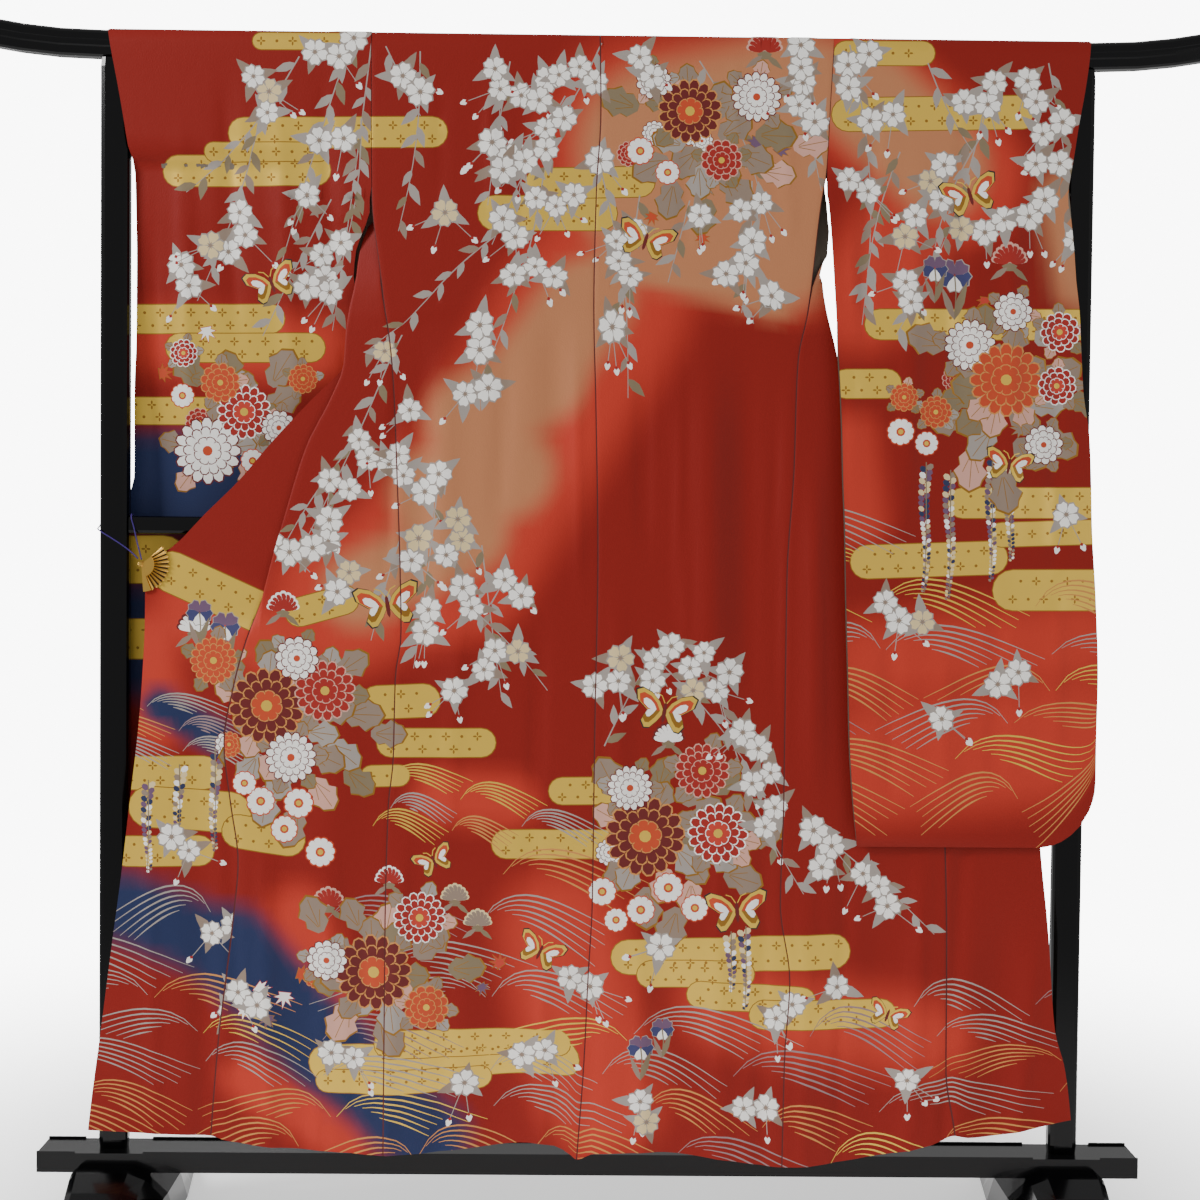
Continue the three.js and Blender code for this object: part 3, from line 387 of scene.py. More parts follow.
LEFT_SLEEVE_FAR_INNER = curves(
    "z x y",
    (1350, -302.6, 8.6), (1335, -304, 11.5), (1300, -308, 16), (1236, -307, 22), (1180, -304, 23),
    (1120, -296, 24), (1060, -290, 25), (1000, -287, 26), (965, -286, 27), (700, -286, 28),
    (503, -286, 27),
)
LEFT_SLEEVE_FAR_OUTER = curves(
    "z x y",
    (1594, -657, 17), (1556, -650, 17), (1520, -645, 17.5), (1480, -638, 17.5), (1440, -630, 16.5),
    *LEFT_CLOSED_EDGE,
)
RIGHT_SLEEVE_NEAR_INNER = curves(
    "z x y",
    (1391, 305.8, -21), (1350, 310, -26), (1310, 313, -30), (1270, 315.5, -33.5), (1230, 318, -37),
    (1180, 321, -40), (1120, 325, -42.5), (1060, 328, -44), (1000, 330, -45), (940, 333, -46),
    (838, 336, -47.4), (735, 340, -49), (650, 343, -50), (590, 347, -50.5), (510, 355, -51),
)
RIGHT_SLEEVE_NEAR_OUTER = curves(
    "z x y",
    (1594, 659, -17), (1556, 655, -17.3), (1520, 650, -18), (1480, 643, -19), (1440, 637, -21),
    (1410, 632, -23), *RIGHT_CLOSED_EDGE,
)
RIGHT_SLEEVE_FAR_INNER = curves(
    "z x y",
    (1391, 309, 10), (1350, 315.5, -2), (1310, 318.5, -14), (1270, 319.5, -22.5), (1230, 320, -28.5),
    (1180, 321, -29.6), (1120, 325, -30.5), (1060, 328, -31.4), (1000, 330, -32.3), (940, 333, -33.3),
    (838, 336, -34.8), (735, 340, -36.4), (650, 343, -37.7), (590, 347, -38.6), (510, 355, -40),
)
RIGHT_SLEEVE_FAR_OUTER = curves(
    "z x y",
    (1594, 659, 17), (1556, 652, 17), (1520, 636, 17), (1480, 622, 14), (1440, 620, 1),
    (1410, 621, -15), *RIGHT_CLOSED_EDGE,
)

# %% [markdown]
# Soft folds of the hanging cloth: where each one is, how far it runs and how deep it is. The first
# rows are the large ones that the solids have as well, the rest are finer creases and handling marks.

# %% Folds
FOLDS = rows("x top bottom width depth drift", [
    (-232, 1225, 640, 26, 4, 0), (-206, 1225, 700, 20, -4, 0), (-56, 1240, 980, 22, 4, 0),
    (146, 1225, 640, 26, -7, 0.02), (200, 1225, 600, 28, 7, 0.02), (293, 1080, 520, 17, -6, 0.01),
    (-330, 760, 300, 34, -5, -0.1), (-545, 860, 84, 30, 5, 0.05), (-390, 420, 84, 34, 6, 0.02),
    (-130, 420, 84, 46, 8, 0), (110, 400, 84, 52, 8, 0), (395, 520, 84, 44, 7, -0.03),
    (560, 460, 84, 30, 6, -0.05),
])
CREASES = rows("x top bottom width depth drift", [
    (-150, 1560, 1290, 9, -1.7, 0.05), (-95, 1500, 1260, 12, 2.0, -0.08), (-214, 1540, 1330, 8, 1.4, -0.02),
    (-30, 1210, 800, 10, -2.4, 0.03), (-118, 1200, 900, 14, 2.7, -0.05), (-262, 1180, 820, 9, 2.4, -0.06),
    (60, 1200, 860, 12, 2.8, 0.02), (102, 1230, 700, 9, -2.1, 0.04), (238, 1200, 620, 10, 2.7, 0.01),
    (30, 900, 420, 15, -2.8, 0.02), (-70, 860, 380, 12, 2.7, -0.03), (-176, 900, 430, 13, -2.8, -0.05),
    (170, 620, 84, 14, -3.5, 0.01), (232, 560, 84, 11, 3.5, 0.0), (62, 470, 84, 13, -3.8, 0.03),
    (2, 440, 84, 16, 4.1, -0.02), (-64, 380, 84, 12, -3.8, 0.0), (-188, 470, 84, 15, 4.3, -0.04),
    (-250, 560, 84, 12, -3.8, -0.05), (-300, 460, 84, 13, 3.5, -0.06), (-345, 520, 84, 10, -3.1, -0.05),
    (-440, 560, 84, 13, -4.3, 0.02), (-490, 700, 84, 12, 3.4, 0.03), (-600, 640, 84, 11, -2.8, 0.03),
    (-520, 420, 84, 16, 3.8, 0.0), (290, 520, 84, 13, -3.4, 0.0), (345, 600, 84, 12, 3.5, -0.02),
    (450, 560, 84, 13, -3.8, -0.04), (506, 640, 84, 12, 3.4, -0.05), (600, 420, 84, 13, -2.8, -0.06),
    (250, 1500, 1300, 10, -1.4, 0.03), (120, 1480, 1280, 12, 1.7, -0.02), (180, 1570, 1420, 9, -1.4, 0.04),
])
SLEEVE_CREASES = rows("x top bottom width depth drift", [
    (-372, 1560, 1180, 12, 2.7, 0.06), (-430, 1540, 1040, 15, -3.1, 0.05), (-500, 1568, 1120, 13, 2.8, 0.03),
    (-560, 1500, 960, 12, -2.7, 0.02), (-600, 1420, 700, 13, 2.4, 0.0), (-470, 1000, 520, 15, 2.8, -0.02),
    (-400, 980, 540, 13, -2.7, -0.03), (-540, 860, 520, 14, -2.8, 0.01), (-338, 1240, 820, 9, 2.1, 0.0),
    (372, 1560, 1120, 12, 2.8, -0.05), (430, 1500, 860, 15, -3.4, -0.03), (492, 1568, 1000, 13, 3.1, -0.02),
    (555, 1520, 820, 14, -2.8, 0.0), (612, 1440, 700, 12, 2.4, 0.01), (398, 860, 520, 13, 2.8, 0.0),
    (470, 820, 520, 16, -3.1, 0.01), (540, 900, 540, 13, 2.8, 0.0), (620, 960, 560, 12, -2.4, 0.0),
    (340, 1380, 900, 9, -2.1, 0.0),
])
TUCK = {"z": 1240, "step": 1.8, "low": 1202, "high": 1236, "rise": 15, "reach": 260, "fade": 50}


def fold_depth(table, x, z):
    """Sum of the folds at a place, positive away from the viewer."""
    total = np.zeros(np.broadcast(x, z).shape)
    for fold in table:
        fade = (fold["top"] - fold["bottom"]) * 0.35
        opened = 1 if fold["bottom"] <= HEM else smooth((z - fold["bottom"]) / fade)
        across = (x - fold["x"] - fold["drift"] * (fold["top"] - z)) / fold["width"]
        total += fold["depth"] * opened * smooth((fold["top"] - z) / fade) * np.exp(-across**2)
    return total


def over_bar(x, side, w):
    return np.stack([x, side * OVER_BAR["y"](w) + 0 * x, OVER_BAR["z"](w) + 0 * x], -1)


def place(x, behind, z):
    """A point of the body: x, how far behind the back's sheet, and the height of its section."""
    x, behind, z = np.broadcast_arrays(*(np.asarray(v, float) for v in (x, behind, z)))
    low = np.minimum(z, BAR)
    on_sheet = np.clip(1 - behind / 12, 0, 1)
    sunk = smooth((low - TUCK["low"]) / (TUCK["high"] - TUCK["low"]))
    step = np.where(low < TUCK["z"], -TUCK["step"] * sunk, 0)
    arch = 1 - 2 * np.minimum(1, np.abs(x) / TUCK["reach"])**2
    bow = TUCK["rise"] * arch * np.exp(-((low - TUCK["z"]) / TUCK["fade"])**2)
    lean = mix(SHEET["top y"], SHEET["hem y"], (BAR - low) / (BAR - HEM))
    hem = smooth((300 - low) / (300 - HEM)) * (HEM_LINE["z"](x) - HEM)
    y = lean + behind + fold_depth(FOLDS, x, low) + fold_depth(CREASES, x, low) * on_sheet + step * on_sheet
    return np.where((z > BAR)[..., None], over_bar(x, np.sign(behind - 1), z),
                    np.stack([x, y, low + hem + bow * on_sheet], -1))


# %% [markdown]
# Each panel is a surface over (share, w): share runs from one sewn edge to the other, and w is the
# height from the floor, carried on along the cloth above the bar. `across` gives the panel's place in
# the print's own coordinates, which are those of the garment seen from the front.

# %% Panels
def dip(*distances):
    """How far cloth is drawn in beside its seams, from the distances to them."""
    return sum(0.7 * np.exp(-(np.asarray(d) / 1.7)**2) for d in distances)


def on_line(points, share):
    """Places along a polyline of (x, behind) arrays, by share of its length, and that length."""
    points = np.array(points)
    steps = np.hypot(*(points[1:] - points[:-1]).transpose(1, 0, 2))
    total = np.concatenate([np.zeros((1, share.size)), np.cumsum(steps, 0)])
    i = np.clip((total <= share * total[-1]).sum(0) - 1, 0, len(steps) - 1)
    each = np.arange(share.size)
    part = (share * total[-1] - total[i, each]) / np.maximum(steps[i, each], 1e-9)
    spots = [mix(points[i, k, each], points[i + 1, k, each], part) for k in (0, 1)]
    return spots + [total[-1], total / total[-1]]


class Back:
    def __init__(self, side):
        self.side, self.facing = side, side
        self.line = LEFT_SIDE if side < 0 else RIGHT_SIDE

    def across(self, share, w):
        return mix(CENTRE_SEAM["x"](w), self.line["x"](w) + self.side * 0.17, share)

    def surface(self, share, w):
        x, (start, end) = self.across(share, w), (self.across(0, w), self.across(1, w))
        return place(x, dip(x - start, x - end), w)


class Front:
    """A front panel: from its side edge out to a fold, round it and back to the seam with the okumi."""

    def __init__(self, side):
        self.side, self.facing = side, side
        self.line, self.plan = (LEFT_SIDE, LEFT_FRONT) if side < 0 else (RIGHT_SIDE, RIGHT_FRONT)

    def section(self, share, w):
        """x, behind and the section's length at arrays of share and w."""
        share, w = np.broadcast_arrays(np.asarray(share, float), np.asarray(w, float))
        shape, share, w = share.shape, share.ravel(), w.ravel()
        plan = {name: curve(w) for name, curve in self.plan.items()}
        edge = np.array([self.line["x"](w) + self.side * (plan["out"] - 0.17), plan["side_behind"]])
        fold = np.array([plan["fold"], plan["fold_behind"]])
        seam = np.array([plan["seam"], plan["seam_behind"]])
        along = (seam - edge) / np.hypot(*(seam - edge))
        turned = []
        for k in range(9):
            angle = (k - 4) * math.pi / 8
            level = fold + along * (k - 4) / 2 * FOLD_RADIUS
            bend = np.array([fold[0] - self.side * FOLD_RADIUS * (1 - math.cos(angle)),
                             fold[1] + FOLD_RADIUS * (1 + math.sin(angle))])
            turned.append(mix(level, bend, plan["turn"]))
        x, behind, length, bends = on_line([edge, *turned, seam], share)
        behind = behind + dip(share * length, (1 - share) * length)
        return [value.reshape(shape) for value in (x, behind, length)] + [bends]

    def bends(self, w):
        """Shares of the nine points round the fold, at each height."""
        return (self.section(np.zeros_like(w), w)[3][1:-1]).T

    def across(self, share, w):
        length = self.section(share, w)[2]
        return self.line["x"](w) + self.side * share * length

    def surface(self, share, w):
        x, behind = self.section(share, w)[:2]
        return place(x, behind, w)


class Okumi:
    """The narrow outer panel, seamed under the front's return and carried out to the collar."""

    def __init__(self, side):
        self.side, self.facing = side, side
        self.plan, self.edge = (LEFT_FRONT, LEFT_EDGE) if side < 0 else (RIGHT_FRONT, RIGHT_EDGE)

    def ends(self, w):
        turned = np.where(w > 900, 1, smooth(self.plan["turn"](w) * 2.2))
        return ((self.plan["seam"](w) + self.side * 0.1 * (1 - turned), self.edge["x"](w)),
                (self.plan["seam_behind"](w) + OKUMI_BEHIND * turned, self.edge["behind"](w)))

    def across(self, share, w):
        return mix(*self.ends(w)[0], share)

    def surface(self, share, w):
        xs, behinds = self.ends(w)
        return place(mix(*xs, share), mix(*behinds, share) + dip((xs[1] - xs[0]) * share), w)


ROUNDED_UNDER = 700.0  # the height up to which a sleeve's rows follow its rounded bottom


class Sleeve:
    """One layer of a sleeve, open at the wrist and along the inner edge, closed below the wrist."""

    def __init__(self, side, layer, inner, outer, facing_layer, armhole, bottom, corner):
        self.side, self.layer, self.inner, self.outer = side, layer, inner, outer
        self.other, self.armhole, self.bottom, self.corner = facing_layer, armhole, bottom, corner
        self.facing = side if layer == "near" else -side

    def ends(self, w, which=None):
        near, inner, outer = which or (self.layer == "near", self.inner, self.outer)
        low = np.minimum(w, BAR)
        if near:
            line = LEFT_SIDE if self.side < 0 else RIGHT_SIDE
            seam = place(line["x"](low) + self.side * 0.17, 0 * low, low)
        else:
            front = Front(self.side).section(np.zeros_like(low), low)
            seam = place(front[0] + self.side * 0.3, front[1], low)
        own = np.stack([inner["x"](low), inner["y"](low), low], -1)
        return (np.where((low >= self.armhole)[..., None], seam, own),
                np.stack([outer["x"](w), outer["y"](low), low], -1))

    def lowest(self, share, width):
        into = np.clip(1 - (1 - share) * width / self.corner[0], 0, 1)
        return self.bottom + self.corner[1] * (1 - np.sqrt(1 - into**2))

    def heights(self, share, w):
        """Section heights: low rows are drawn together towards the rounded bottom."""
        inner, outer = self.ends(w)
        lowest = self.lowest(share, np.abs(outer[..., 0] - inner[..., 0]))
        fall = np.clip((w - self.bottom) / (ROUNDED_UNDER - self.bottom), 0, 1)
        low = w < ROUNDED_UNDER
        return (np.where(low, mix(lowest, ROUNDED_UNDER, fall), w),
                np.where(low, np.minimum(1, np.sqrt(fall * 2.4)), 1))

    def across(self, share, w):
        height, _ = self.heights(share, w)
        inner, outer = self.ends(height)
        return mix(inner[..., 0], outer[..., 0], share)

    def surface(self, share, w):
        height, closed = self.heights(share, w)
        inner, outer = self.ends(height)
        facing_inner, facing_outer = self.ends(height, self.other)
        y = mix(inner[..., 1], outer[..., 1], share)
        y = mix((y + mix(facing_inner[..., 1], facing_outer[..., 1], share)) / 2, y, closed)
        x = mix(inner[..., 0], outer[..., 0], share)
        crease = fold_depth(SLEEVE_CREASES, x, height) * np.clip(closed * 1.4 - 0.4, 0, 1)
        edge = np.minimum(share, 1 - share) * np.abs(outer[..., 0] - inner[..., 0])
        y = y + crease * smooth(edge / 30)
        side = -1 if self.layer == "near" else 1
        hung = np.stack([x, y, np.minimum(height, BAR)], -1)
        return np.where((w > BAR)[..., None], over_bar(x, side, w), hung)


def sleeve_layers(side, near, far, armhole, bottom, corner):
    made = []
    for layer, own, other in (("near", near, far), ("far", far, near)):
        made.append(Sleeve(side, layer, *own, (layer != "near", *other), armhole, bottom, corner))
    return made


# %% [markdown]
# The print is laid out as flat outlines in front-view millimetres, in the order they are laid on.
# Each motif below draws itself from a few points; the tables after them say where each one goes.

# %% Motifs
dice = random.Random(7)


class Print:
    """Outlines in the order they are laid on, each with its dye."""

    def __init__(self):
        self.shapes = []

    def add(self, dye, points):
        points = np.array(points, float)
        x, z = points.T
        area = np.sum(x * np.roll(z, -1) - np.roll(x, -1) * z) / 2
        if abs(area) > 0.4:
            self.shapes.append((dye, points if area > 0 else points[::-1]))

    def put(self, dye, shape, at, turn=0.0, size=1.0, flip=1.0):
        """A shape in its own coordinates, turned (radians), scaled and moved to its place."""
        shape = np.array(shape, float) * (size, size * flip)
        c, s = math.cos(turn), math.sin(turn)
        self.add(dye, shape @ np.array([[c, s], [-s, c]]) + at)

    def line(self, dye, points, widths):
        """A ribbon along points, as one quad a step, with a width at each point."""
        points = np.array(points, float)
        along = np.gradient(points, axis=0)
        along /= np.maximum(np.hypot(*along.T), 1e-9)[:, None]
        half = (np.broadcast_to(widths, len(points)) / 2)[:, None]
        out = np.stack([-along[:, 1], along[:, 0]], -1) * half
        left, away = points + out, points - out
        for k in range(len(points) - 1):
            self.add(dye, [left[k], away[k], away[k + 1], left[k + 1]])


def round_shape(count=12, rx=1.0, rz=1.0):
    angles = np.arange(count) * 2 * math.pi / count
    return np.stack([np.cos(angles) * rx, np.sin(angles) * rz], -1)


def petal(half_angle, tip=0.9, root=0.12, plump=1.15):
    """A petal from the middle out along +x, as wide as its share of the circle."""
    wide = math.tan(half_angle) * plump
    return [(root, -root * wide), (0.62, -0.62 * wide), (tip, -0.7 * wide), (1.0, -0.3 * wide), (1.0, 0),
            (1.0, 0.3 * wide), (tip, 0.7 * wide), (0.62, 0.62 * wide), (root, root * wide)]


BLOSSOM_PETAL = [(0.06, -0.04), (0.35, -0.32), (0.68, -0.46), (0.95, -0.27), (0.87, 0), (0.95, 0.27),
                 (0.68, 0.46), (0.35, 0.32), (0.06, 0.04)]
BUD = [(0, -0.2), (0.4, -0.42), (0.9, -0.2), (1.05, 0), (0.9, 0.2), (0.4, 0.42), (0, 0.2)]
CALYX = [(-0.25, 0), (0.05, -0.26), (0.3, 0), (0.05, 0.26)]
LEAF = [(0, 0), (0.22, -0.11), (0.5, -0.15), (0.8, -0.08), (1.05, 0), (0.8, 0.09), (0.5, 0.16), (0.22, 0.12)]
BROAD_LEAF = [(0, -0.08), (0.22, -0.3), (0.4, -0.26), (0.55, -0.4), (0.72, -0.28), (0.86, -0.24), (1.0, 0),
              (0.86, 0.24), (0.72, 0.28), (0.55, 0.4), (0.4, 0.26), (0.22, 0.3), (0, 0.08)]
LOBES, LOBE_TURN, LOBE_ROOT = (0.62, 0.85, 1, 1.08, 1, 0.85, 0.62), 0.72, 0.42
MAPLE_LEAF = [(math.cos(angle) * reach, math.sin(angle) * reach) for k, lobe in enumerate(LOBES)
              for angle, reach in (((k - 3) * LOBE_TURN, lobe), ((k - 2.5) * LOBE_TURN, LOBE_ROOT))]
WING = [(0, 0), (0.25, -0.08), (0.62, 0.02), (0.98, 0.3), (1.05, 0.62), (0.85, 0.72), (0.5, 0.6), (0.2, 0.34)]
LOW_WING = [(0, 0), (0.3, -0.02), (0.62, -0.12), (0.74, -0.4), (0.6, -0.62), (0.42, -0.6), (0.2, -0.34)]


FIFTH, TENTH = 1.2566, 0.6283  # of a full turn


def blossom(art, at, size, dye="white"):
    """A five-petalled cherry blossom with a star of stamens."""
    turn = dice.uniform(0, 6.28)
    for k in range(5):
        art.put("grey", BLOSSOM_PETAL, at, turn + k * FIFTH, size * 1.06)
    for k in range(5):
        a = turn + k * FIFTH
        root = np.add(at, (math.cos(a) * size * 0.07, math.sin(a) * size * 0.07))
        art.put(dye, BLOSSOM_PETAL, root, a, size * 0.9, 0.92)
    art.put("taupe", [(math.cos(k * TENTH) * (0.3, 0.1)[k % 2], math.sin(k * TENTH) * (0.3, 0.1)[k % 2])
                      for k in range(10)], at, turn, size)


def bud(art, at, turn, size):
    art.put("white", BUD, at, turn, size)
    art.put("scarlet", CALYX, at, turn, size)


def ring(art, dye, at, count, size, turn, root=0.12, tip=0.9, plump=1.15):
    for k in range(count):
        art.put(dye, petal(math.pi / count, tip, root, plump), at, turn + k * 2 * math.pi / count, size)


CHRYSANTHEMUM_DYES = {  # edge, petals, inner petals, middle
    "white": ("crimson", "white", "white", "orange"), "coral": ("white", "scarlet", "coral", "gold"),
    "orange": ("ochre", "orange", "orange", "gold"), "crimson": ("ochre", "crimson", "orange", "gold"),
    "scarlet": ("blush", "scarlet", "scarlet", "gold"),
}


def chrysanthemum(art, at, size, kind):
    """Three rows of petals, each with a light or dark edge, and a gilt middle."""
    edge, fill, inner, middle = CHRYSANTHEMUM_DYES[kind]
    count = 16 if size > 30 else 12
    art.put(edge, round_shape(24), at, 0, size * 0.8)
    turn = dice.uniform(0, 1)
    for share, petals, dye in ((1.0, count, fill), (0.72, count - 3, fill), (0.42, 8, inner)):
        art.put(edge, round_shape(20), at, 0, size * share * 0.78)
        ring(art, edge, at, petals, size * share, turn)
        ring(art, dye, at, petals, size * share * 0.97 - 0.5, turn, root=0.2, tip=0.87, plump=1.04)
        turn += math.pi / petals
    art.put(middle, round_shape(10), at, 0, size * 0.15)


def broad_leaf(art, at, heading, size):
    """A lobed leaf with gilt veins and a gilt edge."""
    art.put("old gold", BROAD_LEAF, at, heading, size * 1.06)
    dye = dice.choice(("taupe", "moss", "grey", "taupe", "taupe", "blush"))
    art.put(dye, BROAD_LEAF, at, heading, size)
    for bend, reach in ((0, 0.92), (0.42, 0.6), (-0.42, 0.6)):
        ways = [(s, heading + bend * s**0.5) for s in (0.15, reach)]
        vein = [np.add(at, (math.cos(a) * size * s, math.sin(a) * size * s)) for s, a in ways]
        art.line("old gold", vein, 0.9)


def leaf_ring(art, at, size):
    for k in range(dice.choice((4, 5, 5))):
        a = k * 1.35 + dice.uniform(-0.3, 0.3)
        broad_leaf(art, np.add(at, (math.cos(a) * size * 0.6, math.sin(a) * size * 0.6)), a, size * 0.85)


def heap(art, at, wide, tall, count):
    """Leaves and small flowers heaped under the large ones, from the rim of the heap inwards."""
    for k in range(count):
        a, share = k * 2.4, 1 - k / count
        spot = np.add(at, (math.cos(a) * wide * share, math.sin(a) * tall * share))
        if k % 5 == 4:
            small = dice.choice(("orange", "scarlet", "white"))
            chrysanthemum(art, spot, dice.uniform(15, 21), small)
        else:
            broad_leaf(art, spot, a + dice.uniform(-0.5, 0.5), dice.uniform(44, 58))


def daisy(art, at, size):
    ring(art, "orange", at, 11, size * 1.05, 0.1)
    ring(art, "white", at, 11, size * 0.95, 0.1, root=0.3)
    art.put("orange", round_shape(9), at, 0, size * 0.34)
    art.put("gold", round_shape(7), at, 0, size * 0.2)


def half_open(art, at, size, kind):
    """A chrysanthemum from the side: a fan of petals over a dark cup."""
    edge, fill = CHRYSANTHEMUM_DYES.get(kind, ("cream", kind))[:2]
    for k in range(9):
        a = math.pi / 2 + (k - 4) * 0.3
        reach = size * (1 - 0.045 * abs(k - 4))
        art.put(edge, petal(0.2, root=0.05), at, a, reach * 1.05)
        art.put(fill, petal(0.2, tip=0.84, root=0.15), at, a, reach * 0.93)
    art.put("moss", [(-0.34, -0.02), (-0.2, -0.26), (0.2, -0.26), (0.34, -0.02), (0, 0.12)], at, 0, size)
    art.put("moss", LEAF, np.add(at, (size * 0.1, -size * 0.1)), -0.7, size * 0.9)
    art.put("taupe", LEAF, np.add(at, (-size * 0.1, -size * 0.1)), -2.5, size * 0.9)


def maple(art, at, size, dye):
    turn = dice.uniform(0, 6.28)
    art.put("old gold" if dye != "white" else "coral", MAPLE_LEAF, at, turn, size * 1.1)
    art.put(dye, MAPLE_LEAF, at, turn, size * 0.95)


def iris(art, at, size):
    for k, dye in enumerate(("indigo", "purple", "purple", "indigo", "white")):
        a = math.pi / 2 + (-1.9, -0.7, 0.7, 1.9, 3.14)[k]
        art.put("grey", BLOSSOM_PETAL, at, a, size * 1.07)
        art.put(dye, BLOSSOM_PETAL, at, a, size)
    art.line("moss", [at, np.add(at, (2, -size * 1.1)), np.add(at, (0, -size * 2.6))], (2, 1.6, 1))
    art.put("moss", LEAF, np.add(at, (0, -size * 2.6)), 1.25, size * 2.3, 0.7)
    art.put("taupe", LEAF, np.add(at, (0, -size * 2.6)), 1.95, size * 2.0, 0.7)


def wisteria(art, x, top, bottom):
    """A hanging string of small petals that thins towards its tip."""
    z = top
    while z > bottom:
        share = (z - bottom) / (top - bottom)
        size = 4 + 6 * share
        for way in (-1, 1):
            dye = dice.choice(("white", "navy", "cream", "taupe", "purple"))
            at = (x + way * size * 0.45 + math.sin(z / 23) * 2.5, z + way * 1.5)
            art.put(dye, round_shape(7, 0.55, 0.42), at, way * 0.7, size)
        z -= 4.6 + 3.4 * share
    art.line("moss", [(x, top + 8), (x + 1, (top + bottom) / 2), (x, bottom)], (1.6, 1.2, 0.8))


def butterfly(art, at, size, turn):
    turn = math.radians(turn)
    for flip in (1, -1):
        for shape, dye in ((WING, "orange"), (LOW_WING, "old gold")):
            side = [(flip * x, z) for x, z in shape]
            art.put("black", side, at, turn, size)
            art.put("gold", side, np.add(at, (flip * 0.4, 0.2)), turn, size * 0.94)
            art.put(dye, [(flip * (0.16 + x * 0.8), z * 0.8 + 0.03) for x, z in shape], at, turn, size * 0.9)
            art.put("white", [(flip * (0.3 + x * 0.5), z * 0.5 + 0.06) for x, z in shape], at, turn, size * 0.9)
    art.put("crimson", round_shape(8, 0.07, 0.36), at, turn, size)
    for flip in (1, -1):
        tips = [(flip * 0.03, 0.3), (flip * 0.16, 0.52), (flip * 0.34, 0.6)]
        c, s = math.cos(turn), math.sin(turn)
        feeler = [np.add(at, (size * (x * c - z * s), size * (x * s + z * c))) for x, z in tips]
        art.line("gold", feeler, 1.3)


def spray(art, start, end):
    """A weeping branch: a thin curved stem with narrow leaves and a few buds."""
    start, end = np.array(start, float), np.array(end, float)
    run = end - start
    length = np.hypot(*run)
    bow = np.array([-run[1], run[0]]) / length * dice.uniform(-0.06, 0.06) * length
    shares = np.linspace(0, 1, max(5, int(length / 26)))
    path = [start + run * t + bow * math.sin(math.pi * t) for t in shares]
    art.line("grey", path, np.linspace(1.9, 1.0, len(path)))
    way = dice.choice((-1, 1))
    for k in range(int(length / 21)):
        t = (k + dice.uniform(0.2, 0.8)) / (length / 21)
        at = start + run * t + bow * math.sin(math.pi * t)
        heading = math.atan2(run[1], run[0]) + way * dice.uniform(0.35, 0.75)
        way = -way
        if dice.random() < 0.2:
            bud(art, at + np.array([math.cos(heading), math.sin(heading)]) * 9, heading, 7.5)
        dye = dice.choice(("grey", "grey", "taupe", "moss"))
        art.put(dye, LEAF, at, heading, dice.uniform(22, 32), way * 1.3)


def cluster(art, at, count):
    """Blossoms crowded round a place, with narrow leaves standing out between them."""
    start, size = dice.uniform(0, 6.28), dice.uniform(17, 19.5)
    spots = [np.array(at, float)]
    for k in range((count - 1) // 2):
        a = start + k * 6.28 / max((count - 1) // 2, 3) + dice.uniform(-0.3, 0.3)
        spots.append(np.add(at, (math.cos(a) * size * 1.7, math.sin(a) * size * 1.6)))
    for k, spot in enumerate(spots):
        for n in range(3):
            a = start + k * 1.9 + n * 2.1
            dye = dice.choice(("grey", "grey", "taupe"))
            art.put(dye, LEAF, spot, a, size * dice.uniform(1.5, 2.0), 1.35)
    for k in range(dice.choice((1, 2, 2, 3))):
        a, reach = dice.uniform(3.4, 6.0), size * dice.uniform(2.0, 2.8)
        tip = np.add(at, (math.cos(a) * reach, math.sin(a) * reach))
        art.line("grey", [at, tip], 1.1)
        bud(art, tip, a, size * 0.55)
    for spot in spots:
        blossom(art, spot, size * dice.uniform(0.9, 1.08), dice.choice(("white",) * 12 + ("cream",)))


def cloud(art, start, end, radius):
    """A flat band of gold foil with round ends."""
    start, end = np.array(start, float), np.array(end, float)
    if start[0] > end[0]:
        start, end = end, start
    turn = math.atan2(*(end - start)[::-1])
    angles = np.linspace(-math.pi / 2, math.pi / 2, 9) + turn
    cap = np.stack([np.cos(angles), np.sin(angles)], -1)
    for dye, grow in (("old gold", 1.3), ("gold", 0)):
        art.add(dye, np.concatenate([end + cap * (radius + grow), start - cap * (radius + grow)]))


FIGURE_STEP, QUARTER = 21, 1.57


def foil_figures(art, start, end, radius):
    """Rows of small four-petalled flowers stamped in the foil."""
    start, end = np.array(start, float), np.array(end, float)
    length = np.hypot(*(end - start))
    lines = 2 if radius > 16 else 1
    for row in range(lines):
        for k in range(int(length / FIGURE_STEP) + 1):
            at = start + (end - start) * (k + 0.5 * (row % 2)) * FIGURE_STEP / max(length, FIGURE_STEP)
            at = at + np.array([0, (row - (lines - 1) / 2) * radius * 0.9])
            if (k + row) % 2:
                art.put("old gold", round_shape(6), at, 0.3, 2.2)
                continue
            for q in (k * QUARTER for k in range(4)):
                spot = np.add(at, (math.cos(q) * 3.4, math.sin(q) * 3.4))
                art.put("old gold", round_shape(6, 0.5, 0.24), spot, q, 5.6)


